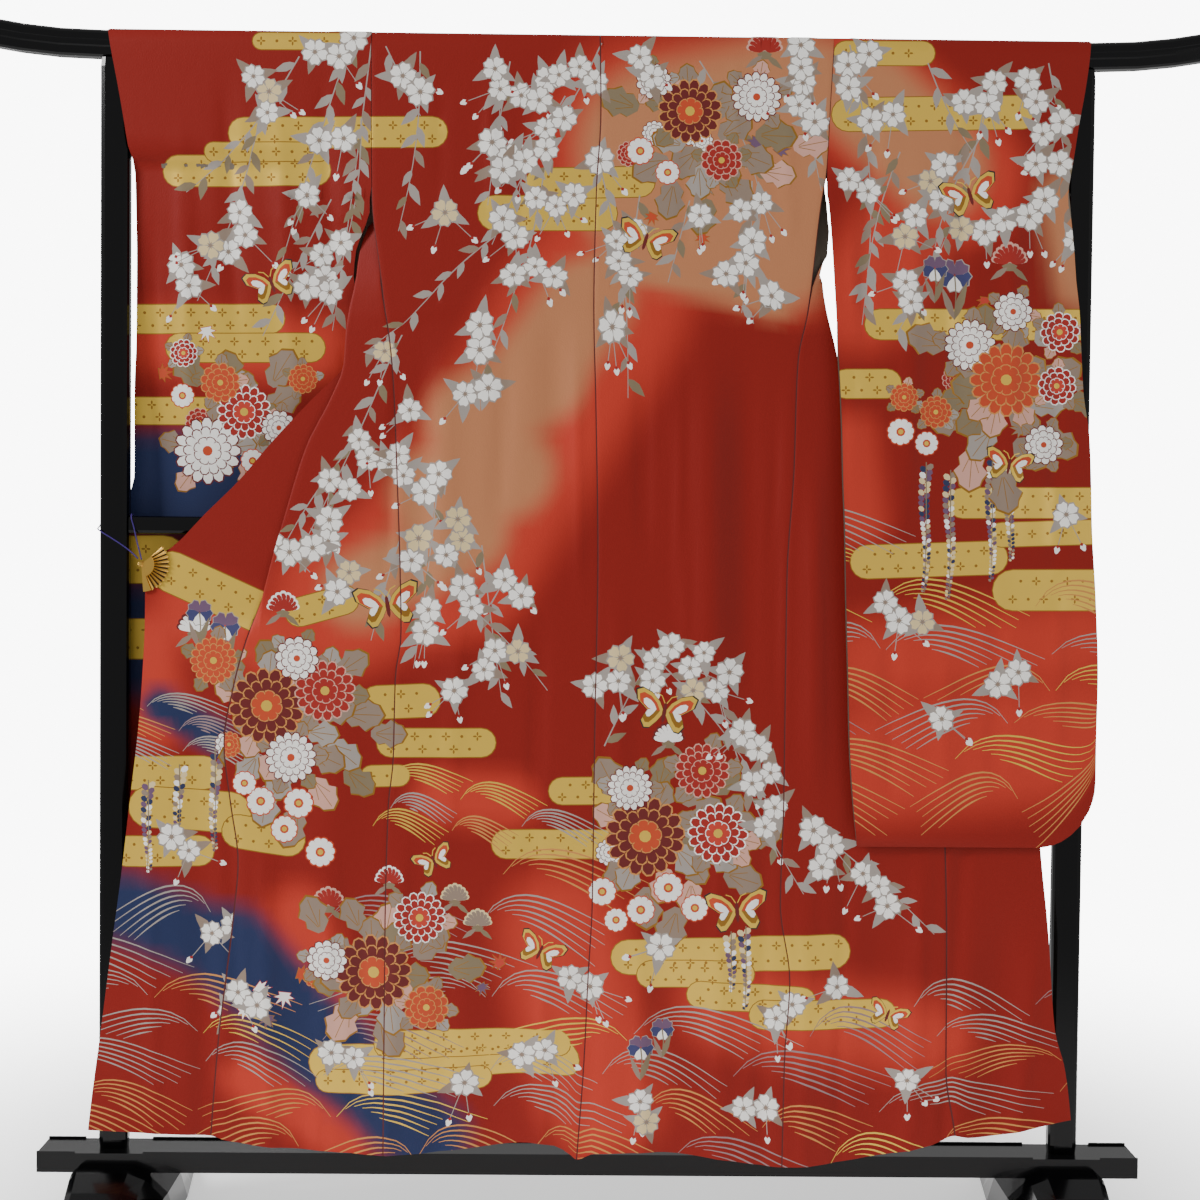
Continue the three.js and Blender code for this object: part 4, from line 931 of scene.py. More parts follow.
def waves(art, skyline, reach, floor):
    """Rolling waves, row before row. Each is a crest with lines combed out under it, and a line stops
    where it meets the crest of a nearer row."""
    edge_x, edge_z = np.array(skyline, float).T
    seen = np.linspace(edge_x[0], edge_x[-1] + reach, 260)
    nearer = np.full(len(seen), -1e9)
    z = floor
    while z < edge_z.max():
        row = nearer.copy()
        x = edge_x[0] - reach * dice.uniform(0.2, 0.9)
        while x < edge_x[-1]:
            span, rise = reach * dice.uniform(0.75, 1.25), reach * dice.uniform(0.2, 0.27)
            lift = dice.uniform(-7, 7)
            dye = dice.choice(("ochre", "grey", "mauve", "grey", "ochre", "gold"))
            way = dice.choice((1, 1, 1, -1))
            for n in range(6) if z < np.interp(x + span / 2, edge_x, edge_z) else ():
                t = np.linspace(0.02 + 0.055 * n, 0.98 - 0.05 * n * dice.uniform(0.5, 1.5), 13)
                line_x = x + span * (t if way > 0 else 1 - t)
                line_z = z + lift + rise * np.sin(math.pi * t**0.62) - n * reach * 0.052 * (0.35 + t)
                clear = line_z > np.interp(line_x, seen, nearer) + 4
                last = len(t) if clear.all() else int(np.argmin(clear)) if clear[0] else 0
                if last > 3:
                    width = np.interp(np.arange(last), (0, last * 0.35, last - 1), (0.7, 2.6, 0.7))
                    art.line(dye, np.stack([line_x, line_z], -1)[:last], width)
                if n == 0:
                    order = np.argsort(line_x)
                    crest = np.interp(seen, line_x[order], line_z[order], left=-1e9, right=-1e9)
                    row = np.maximum(row, crest)
            x += span
        nearer = row
        z += reach * 0.27


# %% [markdown]
# Where the motifs lie. `on` names the parts of the garment that show a motif: L and R are the left
# and right sleeves, B the body, O the left okumi.

# %% Layout
CLOUDS = rows("on x z x2 z2 r", [
    ('L', -452, 1578, -335, 1579, 11), ('LB', -475, 1456, -223, 1460, 20),
    ('L', -564, 1406, -379, 1408, 20), ('L', -515, 1431, -374, 1432, 12),
    ('L', -621, 1209, -440, 1211, 19), ('L', -563, 1171, -386, 1173, 19),
    ('L', -634, 1086, -482, 1087, 18), ('L', -643, 884, -587, 885, 32), ('L', -643, 776, -532, 777, 27),
    ('B', -138, 1353, 2, 1354, 23), ('B', -78, 1393, 55, 1397, 20), ('B', -271, 643, -150, 644, 19),
    ('B', -290, 697, -228, 700, 22), ('B', -297, 598, -260, 599, 14), ('B', -41, 580, 15, 581, 18),
    ('B', -116, 508, 40, 509, 19), ('B', 50, 357, 326, 366, 23), ('B', 80, 334, 202, 335, 18),
    ('B', 148, 306, 284, 300, 18), ('B', 233, 280, 393, 282, 19), ('BO', -352, 208, -41, 216, 26),
    ('BO', -271, 236, -46, 237, 19), ('BO', -352, 183, -149, 185, 16), ('O', -568, 869, -396, 792, 27),
    ('BO', -395, 817, -335, 834, 19), ('BO', -622, 599, -522, 600, 22),
    ('BO', -595, 554, -485, 547, 27), ('BO', -625, 494, -528, 495, 20),
    ('BO', -475, 522, -407, 512, 22), ('R', 329, 1572, 432, 1573, 16), ('R', 333, 1490, 567, 1496, 22),
    ('R', 377, 1209, 659, 1212, 20), ('R', 332, 1129, 387, 1130, 19), ('R', 491, 972, 666, 974, 20),
    ('R', 363, 892, 530, 899, 22), ('R', 560, 856, 668, 857, 27), ('R', 543, 930, 667, 935, 16),
])
CHRYSANTHEMUMS = rows("on x z r kind", [
    ('L', -527, 1033, 46, 'white'), ('L', -477, 1086, 37, 'coral'), ('L', -509, 1125, 27, 'orange'),
    ('L', -430, 1065, 24, 'white'), ('L', -397, 1131, 20, 'orange'), ('L', -558, 1164, 19, 'coral'),
    ('B', 121, 1492, 43, 'crimson'), ('B', 210, 1512, 34, 'white'), ('B', 164, 1427, 28, 'scarlet'),
    ('B', 72, 1531, 24, 'white'), ('BO', -438, 691, 51, 'crimson'), ('BO', -360, 712, 41, 'scarlet'),
    ('BO', -398, 755, 30, 'white'), ('BO', -405, 622, 35, 'white'), ('BO', -510, 751, 32, 'orange'),
    ('BO', -292, 334, 51, 'crimson'), ('BO', -355, 350, 28, 'white'), ('BO', -231, 408, 35, 'coral'),
    ('BO', -221, 287, 30, 'orange'), ('B', 71, 520, 54, 'crimson'), ('B', 169, 525, 41, 'coral'),
    ('B', 147, 609, 37, 'scarlet'), ('B', 50, 585, 31, 'white'), ('R', 498, 1183, 35, 'white'),
    ('R', 555, 1228, 27, 'white'), ('R', 547, 1137, 49, 'orange'), ('R', 619, 1202, 27, 'coral'),
    ('R', 616, 1130, 26, 'coral'), ('R', 453, 1093, 22, 'orange'), ('R', 410, 1112, 19, 'orange'),
    ('R', 599, 1051, 27, 'white'),
])
DAISIES = rows("on x z r", [
    ('BO', -445, 563, 19), ('BO', -394, 561, 20), ('BO', -364, 496, 20), ('BO', -413, 526, 18),
    ('BO', -467, 587, 16), ('B', 14, 445, 19), ('B', 66, 421, 19), ('B', 103, 451, 20),
    ('B', 139, 424, 18), ('B', 33, 407, 16), ('R', 406, 1066, 18), ('R', 441, 1051, 16),
    ('L', -560, 1107, 16), ('L', -466, 1020, 16), ('B', 55, 1438, 18), ('B', 92, 1410, 16),
])
BUTTERFLIES = rows("on x z r turn", [
    ('L', -438, 1257, 35, 20), ('B', 63, 1316, 38, -15), ('B', -277, 826, 43, 10),
    ('B', 95, 687, 41, -10), ('BO', -69, 363, 32, -25), ('B', 196, 419, 41, 5),
    ('R', 498, 1383, 38, 15), ('R', 552, 1022, 32, -10), ('B', 401, 279, 27, -20),
    ('BO', -212, 484, 27, 25),
])
CLUSTERS = rows("on x z count", [
    ('L', -441, 1511, 5), ('L', -348, 1559, 5), ('L', -341, 1450, 4), ('L', -474, 1322, 5),
    ('L', -390, 1375, 2), ('L', -371, 1296, 5), ('L', -550, 1254, 4), ('L', -360, 1247, 3),
    ('L', -521, 1308, 2), ('B', -263, 1534, 4), ('B', -133, 1518, 5), ('B', -69, 1532, 3),
    ('B', -27, 1549, 6), ('B', -72, 1466, 5), ('B', -143, 1447, 4), ('B', -99, 1423, 3),
    ('B', -205, 1353, 2), ('B', -111, 1321, 3), ('B', -57, 1363, 5), ('B', -84, 1275, 5),
    ('B', 1, 1425, 2), ('B', 24, 1316, 4), ('B', 43, 1259, 3), ('B', 20, 1196, 2), ('B', -157, 1170, 3),
    ('B', -176, 1111, 3), ('B', 53, 1563, 4), ('B', 267, 1502, 5), ('B', 218, 1371, 4),
    ('B', 198, 1291, 5), ('B', 269, 1552, 3), ('B', 233, 1255, 2), ('B', 136, 1353, 2),
    ('B', -305, 1024, 5), ('B', -356, 994, 4), ('B', -265, 1029, 3), ('B', -229, 980, 4),
    ('B', -356, 941, 4), ('B', -409, 897, 5), ('B', -179, 916, 6), ('B', -121, 863, 4),
    ('B', -227, 792, 4), ('B', -165, 825, 3), ('B', -133, 768, 5), ('B', -187, 714, 2),
    ('B', -246, 888, 3), ('B', -329, 871, 4), ('B', -284, 1169, 2), ('B', -250, 1089, 2),
    ('B', 33, 729, 5), ('B', 82, 757, 5), ('B', 129, 747, 4), ('B', 165, 717, 5), ('B', 201, 661, 4),
    ('B', 239, 607, 3), ('B', 232, 534, 3), ('B', 322, 509, 6), ('B', 365, 472, 2), ('B', 399, 428, 4),
    ('BO', -1, 316, 3), ('BO', 250, 276, 3), ('BO', -61, 226, 3), ('BO', -318, 216, 4),
    ('BO', 68, 156, 3), ('BO', 238, 160, 3), ('BO', 93, 371, 2), ('BO', -510, 384, 3),
    ('BO', -169, 178, 2), ('BO', 428, 186, 2), ('BO', 332, 318, 2), ('BO', -542, 495, 3),
    ('BO', -474, 305, 3), ('R', 332, 1556, 5), ('R', 393, 1491, 3), ('R', 520, 1506, 6),
    ('R', 573, 1538, 3), ('R', 594, 1467, 4), ('R', 444, 1402, 5), ('R', 410, 1327, 4),
    ('R', 517, 1334, 6), ('R', 576, 1356, 4), ('R', 411, 1266, 3), ('R', 361, 1388, 3),
    ('R', 617, 1428, 3), ('R', 407, 814, 5), ('R', 569, 746, 3), ('R', 466, 683, 2), ('R', 631, 958, 2),
    ('R', 637, 1325, 2),
])
SPRAYS = rows("on x z x2 z2", [
    ('L', -332, 1580, -424, 1286), ('L', -305, 1577, -357, 1196), ('L', -401, 1558, -553, 1378),
    ('L', -444, 1509, -539, 1234), ('L', -358, 1370, -451, 1188), ('L', -318, 1477, -340, 1303),
    ('B', 2, 1581, -79, 1437), ('B', -46, 1510, -142, 1310), ('B', -68, 1450, -175, 1092),
    ('B', -137, 1323, -310, 1166), ('B', 1, 1418, 42, 1108), ('B', 55, 1379, 20, 1179),
    ('B', -120, 1555, -148, 1363), ('B', -240, 1567, -267, 1328), ('B', -286, 1573, -239, 1481),
    ('B', 133, 1559, 223, 1354), ('B', 205, 1400, 193, 1225), ('B', 267, 1560, 298, 1388),
    ('B', 122, 1373, 94, 1253), ('B', -261, 1196, -401, 887), ('B', -209, 1012, -242, 743),
    ('B', -152, 909, -123, 701), ('B', -327, 1041, -428, 884), ('B', -178, 835, -62, 715),
    ('B', -262, 915, -299, 780), ('B', 15, 641, 78, 764), ('B', 78, 764, 233, 576),
    ('B', 173, 697, 285, 444), ('B', 281, 545, 462, 391), ('R', 334, 1583, 353, 1208),
    ('R', 522, 1535, 399, 1195), ('R', 601, 1562, 641, 1295), ('R', 403, 1441, 358, 1235),
    ('R', 515, 1469, 443, 1276), ('R', 439, 1560, 501, 1442),
])
WISTERIA = rows("on x z z2", [
    ('R', 441, 1018, 852), ('R', 474, 1008, 842), ('R', 530, 1027, 867), ('R', 555, 1017, 896),
    ('BO', -596, 582, 467), ('BO', -507, 623, 495), ('BO', -555, 603, 508), ('B', 208, 392, 286),
    ('B', 188, 385, 310),
])
MAPLES = rows("on x z r colour", [
    ('B', 211, 1451, 18, 'purple'), ('B', 242, 1441, 15, 'purple'), ('B', 143, 1392, 16, 'taupe'),
    ('B', 72, 1351, 12, 'orange'), ('B', 139, 1323, 12, 'orange'), ('B', 103, 1366, 12, 'scarlet'),
    ('BO', -444, 312, 16, 'white'), ('BO', -412, 300, 16, 'white'), ('BO', -465, 281, 15, 'white'),
    ('BO', -390, 330, 15, 'orange'), ('BO', -123, 346, 14, 'coral'), ('BO', -147, 314, 12, 'purple'),
    ('BO', -433, 271, 14, 'purple'), ('L', -527, 1194, 15, 'white'), ('L', -587, 1137, 14, 'orange'),
    ('R', 567, 1071, 14, 'taupe'), ('R', 517, 1243, 12, 'coral'),
])
IRISES = rows("on x z r", [
    ('R', 477, 1276, 23), ('R', 450, 1285, 18), ('BO', 68, 233, 18), ('BO', 97, 258, 16),
    ('O', -495, 797, 20), ('O', -530, 815, 18),
])
HALF_OPEN = rows("on x z r kind", [
    ('O', -536, 788, 30, 'white'), ('BO', -417, 817, 27, 'coral'), ('B', 220, 1570, 30, 'scarlet'),
    ('B', 101, 646, 27, 'white'), ('R', 550, 1290, 30, 'scarlet'), ('BO', -353, 422, 27, 'scarlet'),
    ('BO', -272, 453, 24, 'coral'), ('BO', -184, 430, 24, 'taupe'), ('BO', -153, 396, 24, 'taupe'),
])
WAVES = rows("on reach floor skyline", [
    ('BO', 200, 70, ((-650, 440), (-400, 330), (-165, 450), (20, 450), (40, 300), (310, 240), (450, 320),
                     (640, 300))),
    ('BO', 120, 520, ((-232, 590), (-85, 600))), ('BO', 110, 625, ((-606, 700), (-509, 711))),
    ('R', 190, 560, ((325, 930), (450, 850), (680, 830))),
])
HEAPS = rows("on x z wide tall count", [
    ('L', -480, 1080, 82, 66, 14), ('B', 138, 1445, 122, 78, 21), ('R', 535, 1112, 98, 106, 24),
    ('BO', -402, 655, 104, 112, 25), ('BO', -292, 338, 100, 78, 20), ('B', 108, 512, 104, 96, 24),
])
GROUND_PATCHES = rows("on x z x2 z2 r soft colour", [
    ('B', 75, 1439, 268, 1461, 149, 95, 'coral'), ('B', 76, 1352, 270, 1341, 108, 74, 'coral'),
    ('B', 3, 1239, -195, 909, 119, 81, 'coral'), ('B', -195, 889, -335, 834, 95, 74, 'coral'),
    ('B', 88, 1439, 268, 1481, 115, 61, 'tan'), ('B', 62, 1366, 256, 1328, 81, 54, 'tan'),
    ('B', 23, 1281, 231, 1254, 30, 30, 'tan'), ('B', -10, 1232, -70, 1158, 57, 49, 'tan'),
    ('B', -76, 1131, -169, 1077, 59, 46, 'tan'), ('B', -122, 1010, -209, 976, 65, 46, 'tan'),
    ('B', -168, 923, -315, 847, 49, 46, 'tan'), ('BO', -206, 572, -111, 566, 35, 46, 'coral'),
    ('BO', -42, 390, 14, 159, 81, 81, 'coral'), ('BO', 175, 296, 461, 244, 54, 81, 'coral'),
    ('BO', -543, 818, -422, 766, 46, 59, 'coral'), ('BO', -596, 777, -582, 670, 35, 54, 'coral'),
    ('BO', -460, 176, -338, 108, 35, 46, 'coral'), ('BO', -393, 408, -352, 292, 41, 54, 'coral'),
    ('BO', -629, 419, -481, 360, 49, 46, 'navy'), ('BO', -481, 360, -352, 224, 59, 46, 'navy'),
    ('BO', -352, 224, -216, 102, 54, 46, 'navy'), ('BO', -582, 690, -509, 650, 24, 27, 'navy'),
    ('L', -627, 992, -358, 981, 68, 41, 'navy'), ('L', -627, 776, -357, 752, 81, 54, 'navy'),
    ('L', -601, 1180, -359, 1169, 41, 54, 'coral'), ('R', 346, 1520, 481, 1409, 89, 59, 'coral'),
    ('R', 350, 1241, 402, 1322, 68, 68, 'coral'), ('R', 359, 1513, 454, 1422, 65, 49, 'tan'),
    ('R', 632, 1378, 651, 1272, 41, 46, 'tan'), ('R', 339, 1055, 354, 948, 35, 54, 'coral'),
    ('R', 371, 760, 653, 790, 54, 81, 'coral'), ('R', 386, 626, 656, 655, 81, 81, 'coral'),
])

# %% [markdown]
# The motifs are laid on in one order, so that whatever comes later covers what is under it.

# %% Print
def drawn(on, turned=lambda p: p, fine=True):
    """Every outline for one part of the garment."""
    art = Print()
    here = lambda table: [row for row in table if on in row["on"]]
    dice.seed(11)
    for c in here(CLOUDS):
        cloud(art, (c["x"], c["z"]), (c["x2"], c["z2"]), c["r"])
    for c in here(CLOUDS) if fine else []:
        foil_figures(art, (c["x"], c["z"]), (c["x2"], c["z2"]), c["r"])
    for w in here(WAVES):
        waves(art, w["skyline"], w["reach"], w["floor"])
    for s in here(SPRAYS):
        spray(art, (s["x"], s["z"]), (s["x2"], s["z2"]))
    for w in here(WISTERIA):
        wisteria(art, w["x"], w["z"], w["z2"])
    for h in here(HALF_OPEN):
        half_open(art, (h["x"], h["z"]), h["r"], h["kind"])
    for m in here(MAPLES):
        maple(art, (m["x"], m["z"]), m["r"], m["colour"])
    for i in here(IRISES):
        iris(art, (i["x"], i["z"]), i["r"])
    for h in here(HEAPS):
        heap(art, (h["x"], h["z"]), h["wide"], h["tall"], h["count"])
    for c in here(CHRYSANTHEMUMS):
        leaf_ring(art, (c["x"], c["z"]), c["r"])
    for d in here(DAISIES):
        daisy(art, (d["x"], d["z"]), d["r"])
    for c in here(CHRYSANTHEMUMS):
        chrysanthemum(art, (c["x"], c["z"]), c["r"], c["kind"])
    for c in here(CLUSTERS):
        cluster(art, (c["x"], c["z"]), c["count"])
    for b in here(BUTTERFLIES):
        butterfly(art, (b["x"], b["z"]), b["r"], b["turn"])
    return [(dye, turned(points)) for dye, points in art.shapes]


def ground_colour(on, x, z):
    """Linear RGB of the dyed ground: red, shaded softly into the patches."""
    colour = np.tile(linear(PALETTE["red"])[:3], x.shape + (1,))
    for patch in GROUND_PATCHES:
        if on in patch["on"]:
            a, b = np.array([patch["x"], patch["z"]]), np.array([patch["x2"], patch["z2"]])
            run = b - a
            t = np.clip(((x - a[0]) * run[0] + (z - a[1]) * run[1]) / (run @ run), 0, 1)
            far = np.hypot(x - a[0] - run[0] * t, z - a[1] - run[1] * t)
            amount = smooth((patch["r"] + patch["soft"] / 2 - far) / patch["soft"])[..., None]
            colour = mix(colour, np.array(linear(PALETTE[patch["colour"]])[:3]), amount)
    return colour


# %% [markdown]
# A panel becomes a thin shell: the printed outer face cut along every outline of the print, a plain
# lining behind it, and turned edges between them. A strip 1 mm wide beside each sewn edge is painted
# seam shade, laid over the real dip there.

# %% Cloth shells
HALF_WALL = 0.6
SEAM_COLUMNS = (1.0, 3.0, 8.0)  # distances from a seam, the first one being the edge of its strip of painted seam shade


def normals_of(panel, share, w):
    e, h = 0.004, 1.2
    du = panel.surface(np.minimum(share + e, 1), w) - panel.surface(np.maximum(share - e, 0), w)
    dw = panel.surface(share, w + h) - panel.surface(share, w - h)
    normal = np.cross(du, dw) * panel.facing
    return normal / np.maximum(np.linalg.norm(normal, axis=-1, keepdims=True), 1e-9)


def grid_of(panel, low, high, step):
    """Shares and heights of a panel's base grid, with columns beside its seams and round its fold."""
    heights = np.linspace(low, high, round((high - low) / step[1]) + 1)
    ends = panel.across(np.array([[0.0], [1.0]]), heights[None, :])
    width = np.abs(ends[1] - ends[0])[:, None]
    stops = [0 * width, *(d / width for d in SEAM_COLUMNS)]
    if hasattr(panel, "bends"):
        stops += list(panel.bends(heights).T[:, :, None])
    else:
        stops += [1 - d / width for d in reversed(SEAM_COLUMNS)]
    stops.append(0 * width + 1)
    columns = [stops[0]]
    for before, after in zip(stops, stops[1:]):
        parts = max(1, round(float(((after - before) * width).max()) / step[0]))
        columns += [mix(before, after, (k + 1) / parts) for k in range(parts)]
    shares = np.concatenate(columns, 1)
    least = 0.25 / width[:, 0]
    for k in range(1, shares.shape[1]):
        shares[:, k] = np.maximum(shares[:, k], shares[:, k - 1] + least)
    shares[:, -1] = 1
    for k in range(shares.shape[1] - 2, 0, -1):
        shares[:, k] = np.minimum(shares[:, k], shares[:, k + 1] - least)
    return shares, np.broadcast_to(heights[:, None], shares.shape)


def borders_of(shapes):
    """What shows of shapes laid over each other: the corners and edges of the borders between two
    dyes, and a function from a place to its dye."""
    spots, outlines = [], []
    for _, points in shapes:
        outlines.append(list(range(len(spots), len(spots) + len(points))))
        spots += [Vector(p) for p in points]
    cut = delaunay_2d_cdt(spots, [], outlines, 1, 1e-3, True)
    inside = [(face, COLOUR_INDEX[shapes[max(origin)][0]])
              for face, origin in zip(cut[2], cut[5]) if origin]
    dyes = [dye for _, dye in inside]
    beside = {}
    for face, dye in inside:
        for k, corner in enumerate(face):
            beside.setdefault((min(corner, face[k - 1]), max(corner, face[k - 1])), []).append(dye)
    borders = [edge for edge, sides in beside.items() if len(sides) == 1 or sides[0] != sides[1]]
    used = sorted({corner for edge in borders for corner in edge})
    renumber = {corner: k for k, corner in enumerate(used)}
    flat = [(v.x, v.y, 0) for v in cut[0]]
    above = BVHTree.FromPolygons(flat, [face for face, _ in inside]) if dyes else None

    def dye_at(x, z):
        face = above.ray_cast((x, z, 1), (0, 0, -1))[2] if above else None
        return 0 if face is None else dyes[face]

    return [cut[0][corner] for corner in used], [(renumber[a], renumber[b]) for a, b in borders], dye_at


def shell(panel, low, high, art, on, sewn=(True, True), ground_at=None, step=(13, 17)):
    """Vertices (mm), normals, faces, dyes and ground colours of one panel. sewn says whether its first
    and its last edge have a seam."""
    S, W = grid_of(panel, low, high, step)
    U = panel.across(S, W)
    along, across = S.shape
    heights = W[:, 0]
    flip = U[0, -1] < U[0, 0]
    grid = [Vector((u, w)) for u, w in zip(U.ravel(), W.ravel())]
    cells = [[i * across + j, i * across + j + 1, (i + 1) * across + j + 1, (i + 1) * across + j]
             for i in range(along - 1) for j in range(across - 1)]
    cells = [c[::-1] if flip else c for c in cells]
    u_low, u_high = U.min(1), U.max(1)
    shapes = []
    for dye, points in art:
        near = np.clip(np.searchsorted(heights, points[:, 1].mean()), 0, along - 1)
        if (points[:, 1].max() > low and points[:, 1].min() < high and points[:, 0].max() > u_low[near] - 30
                and points[:, 0].min() < u_high[near] + 30):
            shapes.append((dye, points))
    corners, borders, dye_at = borders_of(shapes)
    borders = [(a + len(grid), b + len(grid)) for a, b in borders]
    cut = delaunay_2d_cdt(grid + corners, borders, cells, 0, 1e-3, True)
    spots = np.array([tuple(v) for v in cut[0]])
    faces, slots = [], []
    for face, origin in zip(cut[2], cut[5]):
        if origin:
            faces.append(face)
            column = origin[0] % (across - 1)
            # The column beside a sewn edge takes the dark red of painted seam shade instead of the print.
            seam = column == 0 and sewn[0] or column == across - 2 and sewn[1]
            slots.append(len(SILK) + 1 if seam else dye_at(*spots[face].mean(0)))
    used = np.unique([v for f in faces for v in f])
    renumber = np.full(len(spots), -1)
    renumber[used] = np.arange(len(used))
    faces = [[int(renumber[v]) for v in f] for f in faces]
    spots = spots[used]
    u, w = spots.T
    w = np.clip(w, low, high)
    start, end = panel.across(np.zeros_like(w), w), panel.across(np.ones_like(w), w)
    share = np.clip((u - start) / np.where(np.abs(end - start) < 1e-6, 1e-6, end - start), 0, 1)
    normal = normals_of(panel, share, w)
    outer = panel.surface(share, w) + normal * HALF_WALL
    paint = ground_colour(on, *(ground_at(u, w) if ground_at else (u, w)))
    back = normals_of(panel, S, W).reshape(-1, 3)
    mid = panel.surface(S, W).reshape(-1, 3)
    rim = [i * across for i in range(along)] + [(along - 1) * across + j for j in range(1, across)]
    rim += [i * across + across - 1 for i in reversed(range(along - 1))] + list(range(across - 2, 0, -1))
    ahead, behind = mid[np.roll(rim, -1)], mid[np.roll(rim, 1)]
    edge = np.cross(ahead - behind, back[rim])
    edge /= np.maximum(np.linalg.norm(edge, axis=-1, keepdims=True), 1e-9)
    edge *= np.where(np.einsum("ij,ij->i", edge, mid[rim] - mid[rim].mean(0)) < 0, -1, 1)[:, None]
    first, lip = len(outer), len(outer) + len(mid)
    n = len(rim)
    edges = [[lip + k, lip + (k + 1) % n, lip + n + (k + 1) % n, lip + n + k] for k in range(n)]
    rest = len(mid) + 2 * n
    return {
        "points": np.concatenate([outer, mid - back * HALF_WALL, (mid + back * HALF_WALL)[rim],
                                  (mid - back * HALF_WALL)[rim]]),
        "normals": np.concatenate([normal, -back, edge, edge]),
        "faces": faces + [[first + v for v in c] for c in cells] + edges,
        "dyes": slots + [len(SILK)] * len(cells) + [len(SILK) + 1] * n,
        "paint": np.concatenate([paint, np.tile(linear(PALETTE["red"])[:3], (rest, 1))]),
    }


def facing_out(points, normals, faces):
    """The same faces, each turned so that it looks along its surface's normal."""
    first = np.array([face[:3] for face in faces])
    a, b, c = points[first].transpose(1, 0, 2)
    turned = np.einsum("ij,ij->i", np.cross(b - a, c - a), normals[first[:, 0]]) < 0
    return [face[::-1] if turn else face for face, turn in zip(faces, turned)]


def linked(name, mesh):
    made = bpy.data.objects.new(name, mesh)
    bpy.context.scene.collection.objects.link(made)
    return made


def cloth_object(name, shells):
    """One Blender mesh from a piece's shells, in metres, with smooth shading from their surfaces."""
    offset, faces = 0, []
    for part in shells:
        turned = facing_out(part["points"], part["normals"], part["faces"])
        faces += [[v + offset for v in face] for face in turned]
        offset += len(part["points"])
    points, normals, paint = (np.concatenate([part[key] for part in shells])
                              for key in ("points", "normals", "paint"))
    dyes = [dye for part in shells for dye in part["dyes"]]
    mesh = bpy.data.meshes.new(name)
    mesh.from_pydata((points * MM).tolist(), [], faces)
    slots = sorted(set(dyes))
    materials = [*SILK, LINING, SEAM_SHADE_AND_EDGE_RED]
    for slot in slots:
        mesh.materials.append(materials[slot])
    mesh.polygons.foreach_set("material_index", [slots.index(d) for d in dyes])
    mesh.polygons.foreach_set("use_smooth", [True] * len(faces))
    ground = mesh.color_attributes.new("ground", "FLOAT_COLOR", "POINT")
    ground.data.foreach_set("color", np.concatenate([paint, np.ones((len(paint), 1))], 1).ravel())
    mesh.update()
    mesh.normals_split_custom_set_from_vertices(normals.tolist())
    return linked(name, mesh)


def finished(made, node):
    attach(made, "root")
    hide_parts(node)
    triangles = sum(len(p.vertices) - 2 for p in made.data.polygons)
    print(f"{made.name}: {triangles} triangles")
    return made


# %% [markdown]
# The garment's pieces. The backs, the fronts and the right okumi share one print, as if it ran through
# all of them at the same place. Near the bar a front also carries what its sleeve has there. A
# sleeve's far layer repeats the larger figures of the near one, mirrored.

# %% Garment
NEAR_BAR = 1380  # height over which a sleeve's figures are on the front as well
BROAD = 5  # least width of a figure that the far layer of a sleeve repeats
body_art = drawn("B")
okumi_art = drawn("O")
sleeve_art = {-1: drawn("L"), 1: drawn("R")}
for side, word in ((-1, "left"), (1, "right")):
    back = cloth_object(f"back_{word}_cloth", [shell(Back(side), HEM, CREST - 0.3, body_art, "B")])
    finished(back, f"back_{word}")

    near_bar = [(dye, points) for dye, points in sleeve_art[side] if points[:, 1].min() > NEAR_BAR]
    front_shell = shell(Front(side), HEM, CREST - 0.3, body_art + near_bar, "B")
    front = cloth_object(f"front_{word}_cloth", [front_shell])
    finished(front, f"front_{word}")

    art, on = (okumi_art, "O") if side < 0 else (body_art, "B")
    okumi_shell = shell(Okumi(side), HEM, OKUMI_TOP, art, on, (True, False))
    okumi = cloth_object(f"okumi_{word}_cloth", [okumi_shell])
    finished(okumi, f"okumi_{word}")

SLEEVES = {
    -1: sleeve_layers(-1, (LEFT_SLEEVE_NEAR_INNER, LEFT_SLEEVE_NEAR_OUTER),
                      (LEFT_SLEEVE_FAR_INNER, LEFT_SLEEVE_FAR_OUTER), 1372, 503, (76, 82)),
    1: sleeve_layers(1, (RIGHT_SLEEVE_NEAR_INNER, RIGHT_SLEEVE_NEAR_OUTER),
                     (RIGHT_SLEEVE_FAR_INNER, RIGHT_SLEEVE_FAR_OUTER), 1410, 510, (78, 90)),
}
for side, word, middle in ((-1, "left", -474), (1, "right", 484)):
    on = "L" if side < 0 else "R"
    near, far = SLEEVES[side]
    broad = [(dye, points) for dye, points in sleeve_art[side] if np.ptp(points, 0).min() > BROAD]
    mirrored = [(dye, points[::-1] * (-1, 1) + (2 * middle, 0)) for dye, points in broad]
    layers = [shell(near, near.bottom, CREST - 0.3, sleeve_art[side], on, (False, False)),
              shell(far, far.bottom, CREST - 0.3, mirrored, on, (False, False),
                    ground_at=lambda a, b, m=middle: (2 * m - a, b))]
    sleeve = cloth_object(f"sleeve_{word}_cloth", layers)
    finished(sleeve, f"sleeve_{word}")

# %% [markdown]
# The collar is a plain red band sewn to the neck and to both front edges. It hangs free on the far
# side and shows only at the neck and along the left edge.

# %% Collar
COLLAR_FALL = curves("s y z", (0, 0.5, 1595), (10.5, 10.8, 1593.2), (20, 16.3, 1585.5),
                     (33.5, 17.4, 1572), (80, 17.8, 1525.5))
COLLAR_COLUMNS = np.array([0, 0.04, 0.1, 0.3, 0.5, 0.7, 0.9, 0.96, 1])  # shares of the width


